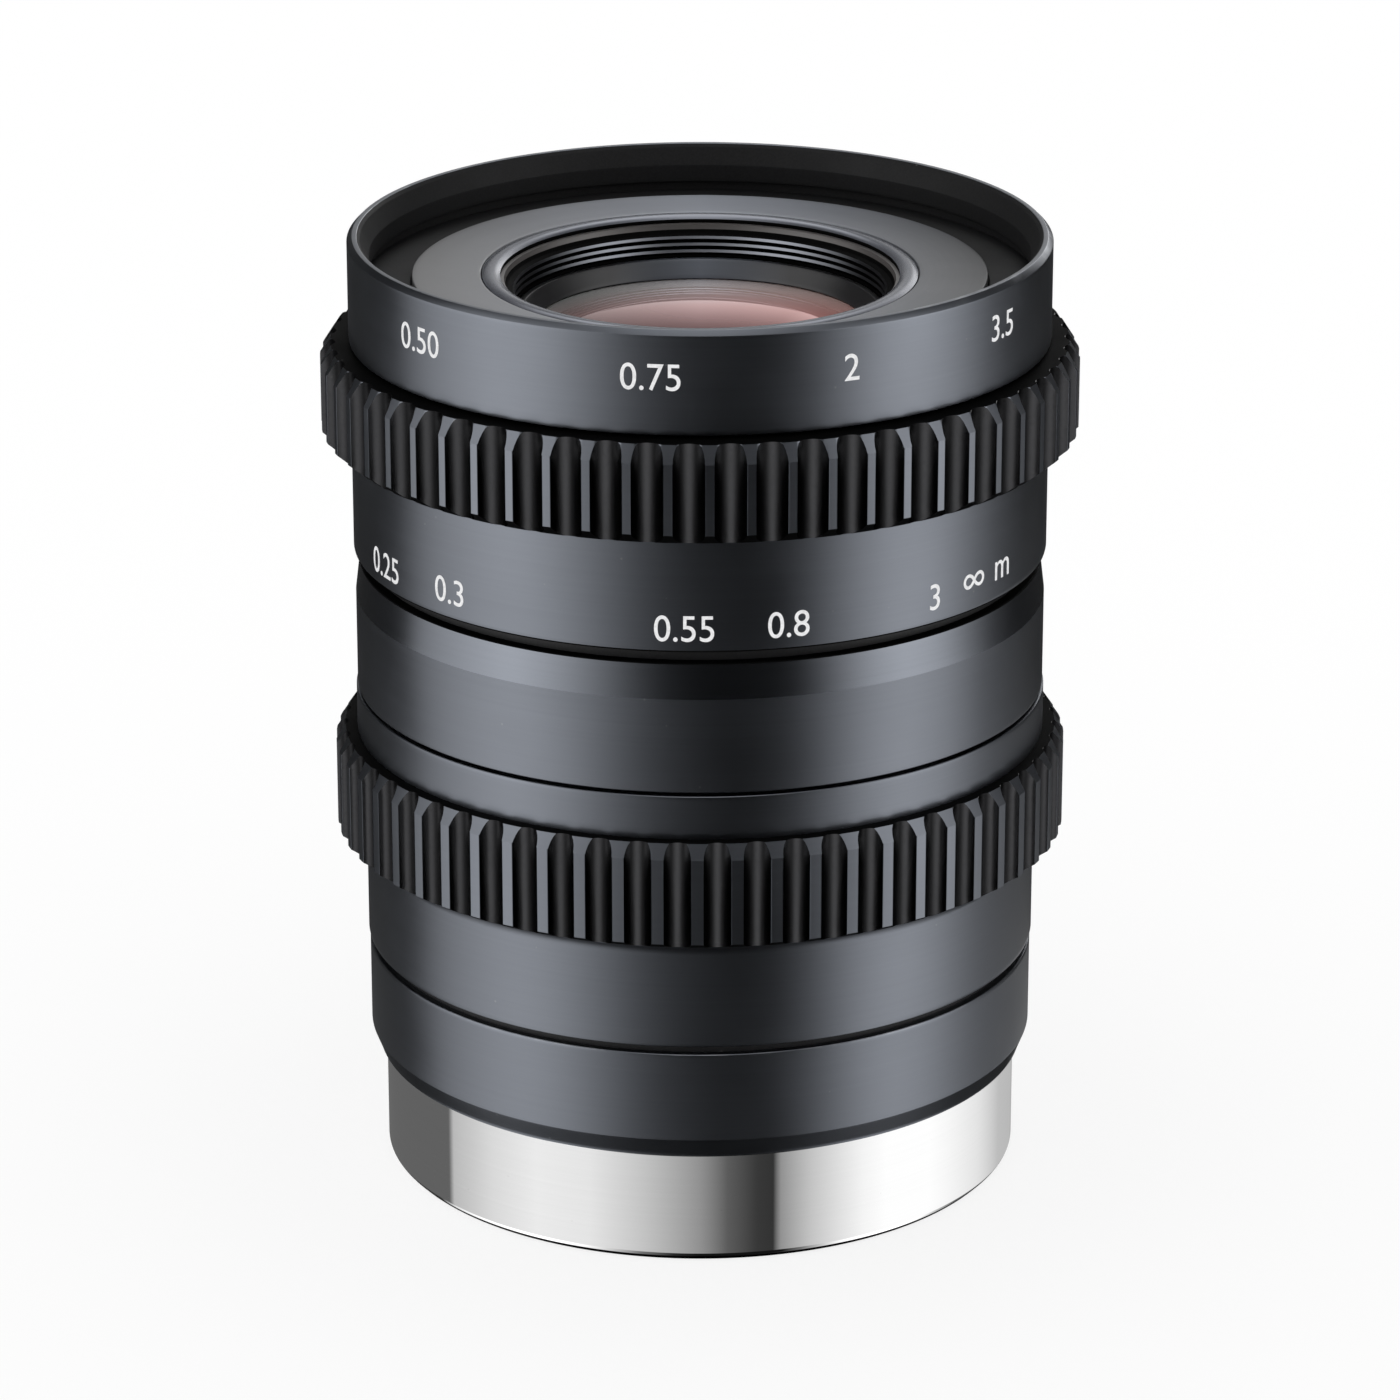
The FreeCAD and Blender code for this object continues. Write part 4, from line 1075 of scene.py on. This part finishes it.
class LENS_OT_inner_parts(bpy.types.Operator):
    """Finishes of the barrel tube, cells, spacers, washers, leaves and pins"""

    bl_idname = "lens.inner_parts"
    bl_label = "Inner parts"

    def execute(self, context):
        colours = context.scene.lens_colours
        black = matt_black("inner_paint", colours.inner)
        rubber = matt_black("washer_rubber", colours.inner, 0.5, 0.3)
        cell = machined("cell_black", colours.barrel, 0.38, marks=0.15, cut=1.0, wear=0.0)
        steel = machined("turned_steel", colours.steel, 0.33, marks=0.15, cut=0.8, wear=0.0)
        brass = machined("turned_brass", colours.brass, 0.33, marks=0.2, cut=1.0, wear=0.0)
        leaf = machined("leaf_steel", colours.inner, 0.45, metallic=0.6, cut=0.5, wear=0.0)
        looks = (
            (black, "optical_barrel front_spacer iris_spacer iris_plate rear_spacer"),
            (black, "iris_cam_ring"),
            (cell, "rear_cell stop_retaining_ring rear_retaining_ring"),
            (rubber, "iris_washer focus_washer"),
            (steel, "focus_snap_ring iris_fork_screws iris_drive_pin"),
            (brass, "cam_follower_pins"),
            (leaf, "iris_fork"),
        )
        for material, nodes in looks:
            for node in nodes.split():
                dress(node, material)
        for number in range(1, 7):
            dress("iris_blade_%d" % number, leaf)
            dress("iris_blade_pins_%d" % number, steel)
        return {"FINISHED"}


# Brightness of the studio round the lens, by the azimuth that a mirror would look along, in
# degrees from the viewer's side towards the right.
PANEL_PEAK = 2.4
PANEL_AZIMUTHS = (
    (-180, 0.03), (-150, 0.035), (-112, 0.04), (-104, 1.0), (-85, 1.65), (-64, 2.35),
    (-50, 1.8), (-35, 0.9), (-22, 0.22), (-10, 0.03), (0, 0.01), (31, 0.01), (38, 0.22),
    (46, 0.75), (58, 1.7), (70, 2.35), (82, 2.0), (97, 0.8), (110, 0.15), (125, 0.03),
    (180, 0.02),
)
# The pale table round the foot, which only the bright mount cylinder mirrors sharply.
TABLE_AZIMUTHS = (
    (-180, 0.14), (-105, 0.145), (-103, 0.6), (-92, 0.72), (-82, 0.86), (-62, 1.03),
    (-41, 0.97), (-20.6, 0.68), (0, 0.35), (10, 0.13), (20.5, 0.05), (27, 0.04), (29, 0.34),
    (41, 0.68), (52, 0.92), (62, 1.13), (72, 1.24), (93, 1.24), (103, 1.16), (124, 0.94),
    (144, 0.6), (165, 0.52), (180, 0.3),
)
# Share of the panels' brightness by height, in degrees above the horizon.
PANEL_HEIGHTS = (
    (-90, 0.02), (-56, 0.03), (-47, 0.6), (-28, 0.95), (-20, 1.0), (-6, 1.22), (20, 1.0),
    (48, 0.85), (58, 0.15), (66, 0.06), (90, 0.03),
)
# The panel behind the lens, higher up, which its upper faces mirror.
REAR_AZIMUTHS = (
    (-180, 0.6), (-168, 0.25), (-150, 0.0), (142, 0.0), (154, 2.35), (167, 1.9),
    (174, 0.62), (180, 0.6),
)
# The light high up behind the lens, and the small one above it.
CROWN_PEAK = 2.6
OVERHEAD_PEAK = 1.5


def around(tree, turn, table):
    """Brightness by azimuth, as a share of the panels' peak."""
    return ramp(tree, turn, [((a + 180) / 360, v / PANEL_PEAK) for a, v in table])


def studio_light(world, strength):
    """World that is plain white to the camera and to matt surfaces, and shows panels to gloss."""
    tree = world.node_tree
    tree.nodes.clear()

    def soft(value, start, end):
        """Share that grows softly from 0 at the start to 1 at the end."""
        return mapped(tree, value, start, end, smooth=True)

    ray = split(tree, place(tree, "ShaderNodeTexCoord").outputs["Generated"])
    back = maths(tree, "MULTIPLY", ray[1], -1.0)
    azimuth = maths(tree, "DEGREES", maths(tree, "ARCTAN2", ray[0], back))
    height = maths(tree, "DEGREES", maths(tree, "ARCSINE", ray[2]))
    turn = mapped(tree, azimuth, -180.0, 180.0)
    rise = mapped(tree, height, -90.0, 90.0)
    up = ramp(tree, rise, [((e + 90) / 180, v) for e, v in PANEL_HEIGHTS])
    panel = product(tree, around(tree, turn, PANEL_AZIMUTHS), up)
    # The table takes the panels' place in a strip below the horizon.
    strip = product(tree, soft(height, -22.2, -22.9), soft(height, -27.0, -26.2))
    table = maths(tree, "SUBTRACT", around(tree, turn, TABLE_AZIMUTHS), panel)
    panel = product(tree, maths(tree, "MULTIPLY_ADD", table, strip, panel), PANEL_PEAK)
    # The panel behind is brightest at its foot.
    low, high = soft(height, 3.0, 8.0), soft(height, 80.0, 66.0)
    fall = mapped(tree, height, 8.0, 30.0, 1.5, 0.5)
    rear = product(tree, around(tree, turn, REAR_AZIMUTHS), PANEL_PEAK, low, high, fall)
    behind = soft(maths(tree, "ABSOLUTE", azimuth), 140.0, 165.0)
    low, high = soft(height, 33.0, 40.0), soft(height, 86.0, 74.0)
    crown = product(tree, behind, low, high, CROWN_PEAK)
    # The one above is set by direction, because azimuths crowd together there.
    middle, above = soft(maths(tree, "ABSOLUTE", ray[0]), 0.6, 0.0), soft(ray[2], 0.8, 0.88)
    overhead = product(tree, middle, above, soft(back, -0.3, -0.1), OVERHEAD_PEAK)
    for light in (rear, crown, overhead):
        panel = maths(tree, "MAXIMUM", panel, light)
    panel = maths(tree, "MULTIPLY", panel, strength)
    path = place(tree, "ShaderNodeLightPath").outputs
    plain = maths(tree, "MAXIMUM", path["Is Camera Ray"], path["Is Diffuse Ray"])
    plain = maths(tree, "MAXIMUM", plain, path["Is Transmission Ray"])
    light = mixed(tree, plain, grey(tree, panel), (1.0, 1.0, 1.0, 1.0))
    shown = place(tree, "ShaderNodeBackground", {"Color": light, "Strength": 1.0})
    place(tree, "ShaderNodeOutputWorld", {0: shown.outputs[0]})
    world.cycles.sampling_method = "NONE"


def floor_finish(settings):
    """Pale floor that the camera sees as white, with part of the object's shadow."""
    made, tree = blank_material("pale_floor")
    path = place(tree, "ShaderNodeLightPath").outputs
    seen = path["Is Camera Ray"]
    pale = settings.floor[0]
    keep = maths(tree, "MULTIPLY_ADD", seen, settings.shadow - 1.0, 1.0)
    tone = grey(tree, maths(tree, "MULTIPLY", keep, pale))
    lift = maths(tree, "MULTIPLY", seen, 1.0 - pale * settings.shadow)
    matt = place(tree, "ShaderNodeBsdfDiffuse", {"Color": tone})
    glow = place(tree, "ShaderNodeEmission", {"Strength": lift})
    both = place(tree, "ShaderNodeAddShader", {0: matt.outputs[0], 1: glow.outputs[0]})
    clear = place(tree, "ShaderNodeBsdfTransparent")
    under = place(tree, "ShaderNodeNewGeometry").outputs["Backfacing"]
    inputs = {0: under, 1: both.outputs[0], 2: clear.outputs[0]}
    shown = place(tree, "ShaderNodeMixShader", inputs)
    place(tree, "ShaderNodeOutputMaterial", {0: shown.outputs[0]})
    return made


class LENS_OT_stage(bpy.types.Operator):
    """Camera, pale floor and studio light"""

    bl_idname = "lens.stage"
    bl_label = "Stage"

    def execute(self, context):
        scene = context.scene
        settings = scene.lens_studio
        lens = bpy.data.cameras.new("lens_camera")
        lens.lens = settings.focal_length
        lens.sensor_width = 36.0
        lens.clip_start = 0.01
        lens.clip_end = 20.0
        camera = bpy.data.objects.new("lens_camera", lens)
        camera.location = (0.0, -settings.camera_distance, settings.camera_height)
        camera.rotation_euler = (math.pi / 2 - settings.camera_tilt, 0.0, 0.0)
        scene.collection.objects.link(camera)
        scene.camera = camera

        size, low = settings.floor_radius, CAD_BOX[0].z
        corners = [(-size, -size), (size, -size), (size, size), (-size, size)]
        mesh = bpy.data.meshes.new("pale_floor")
        mesh.from_pydata([(x, y, low) for x, y in corners], [], [(0, 1, 2, 3)])
        mesh.materials.append(floor_finish(settings))
        floor = bpy.data.objects.new("pale_floor", mesh)
        scene.collection.objects.link(floor)
        floor.visible_glossy = False

        world = bpy.data.worlds.new("studio_light")
        world.use_nodes = True
        scene.world = world
        studio_light(world, settings.panels)
        scene.view_settings.view_transform = "Standard"
        return {"FINISHED"}


class LENS_PT_panel(bpy.types.Panel):
    """Sizes, colours and steps of the lens"""

    bl_idname = "LENS_PT_panel"
    bl_label = "Machine vision lens"
    bl_space_type = "VIEW_3D"
    bl_region_type = "UI"
    bl_category = "Lens"

    def draw(self, context):
        scene = context.scene
        for name in SETTINGS:
            group = getattr(scene, name)
            box = self.layout.box()
            box.label(text=name.removeprefix("lens_").capitalize())
            for key in group.bl_rna.properties.keys():
                if key not in ("rna_type", "name"):
                    box.prop(group, key)
        column = self.layout.column(align=True)
        for step in STEPS:
            column.operator(step.bl_idname)


STEPS = (
    LENS_OT_mount_ring, LENS_OT_rear_barrel, LENS_OT_main_barrel, LENS_OT_iris_ring,
    LENS_OT_focus_ring, LENS_OT_scale_numbers, LENS_OT_front_barrel, LENS_OT_front_rings,
    LENS_OT_glass, LENS_OT_inner_parts, LENS_OT_stage,
)
SETTINGS = {"lens_sizes": LensSizes, "lens_colours": LensColours, "lens_studio": StudioSettings}
CLASSES = (*SETTINGS.values(), *STEPS, LENS_PT_panel)


def register():
    """Registers the classes and puts their settings on the scene."""
    for kind in CLASSES:
        bpy.utils.register_class(kind)
    for name, kind in SETTINGS.items():
        setattr(bpy.types.Scene, name, bpy.props.PointerProperty(type=kind))


def unregister():
    """Takes the settings and the classes away."""
    for name in SETTINGS:
        delattr(bpy.types.Scene, name)
    for kind in reversed(CLASSES):
        bpy.utils.unregister_class(kind)


def main():
    """Builds every piece and the stage."""
    register()
    bpy.ops.lens.mount_ring()
    bpy.ops.lens.rear_barrel()
    bpy.ops.lens.main_barrel()
    bpy.ops.lens.iris_ring()
    bpy.ops.lens.focus_ring()
    bpy.ops.lens.scale_numbers()
    bpy.ops.lens.front_barrel()
    bpy.ops.lens.front_rings()
    bpy.ops.lens.glass()
    bpy.ops.lens.inner_parts()
    bpy.ops.lens.stage()


if __name__ == "__main__":
    main()
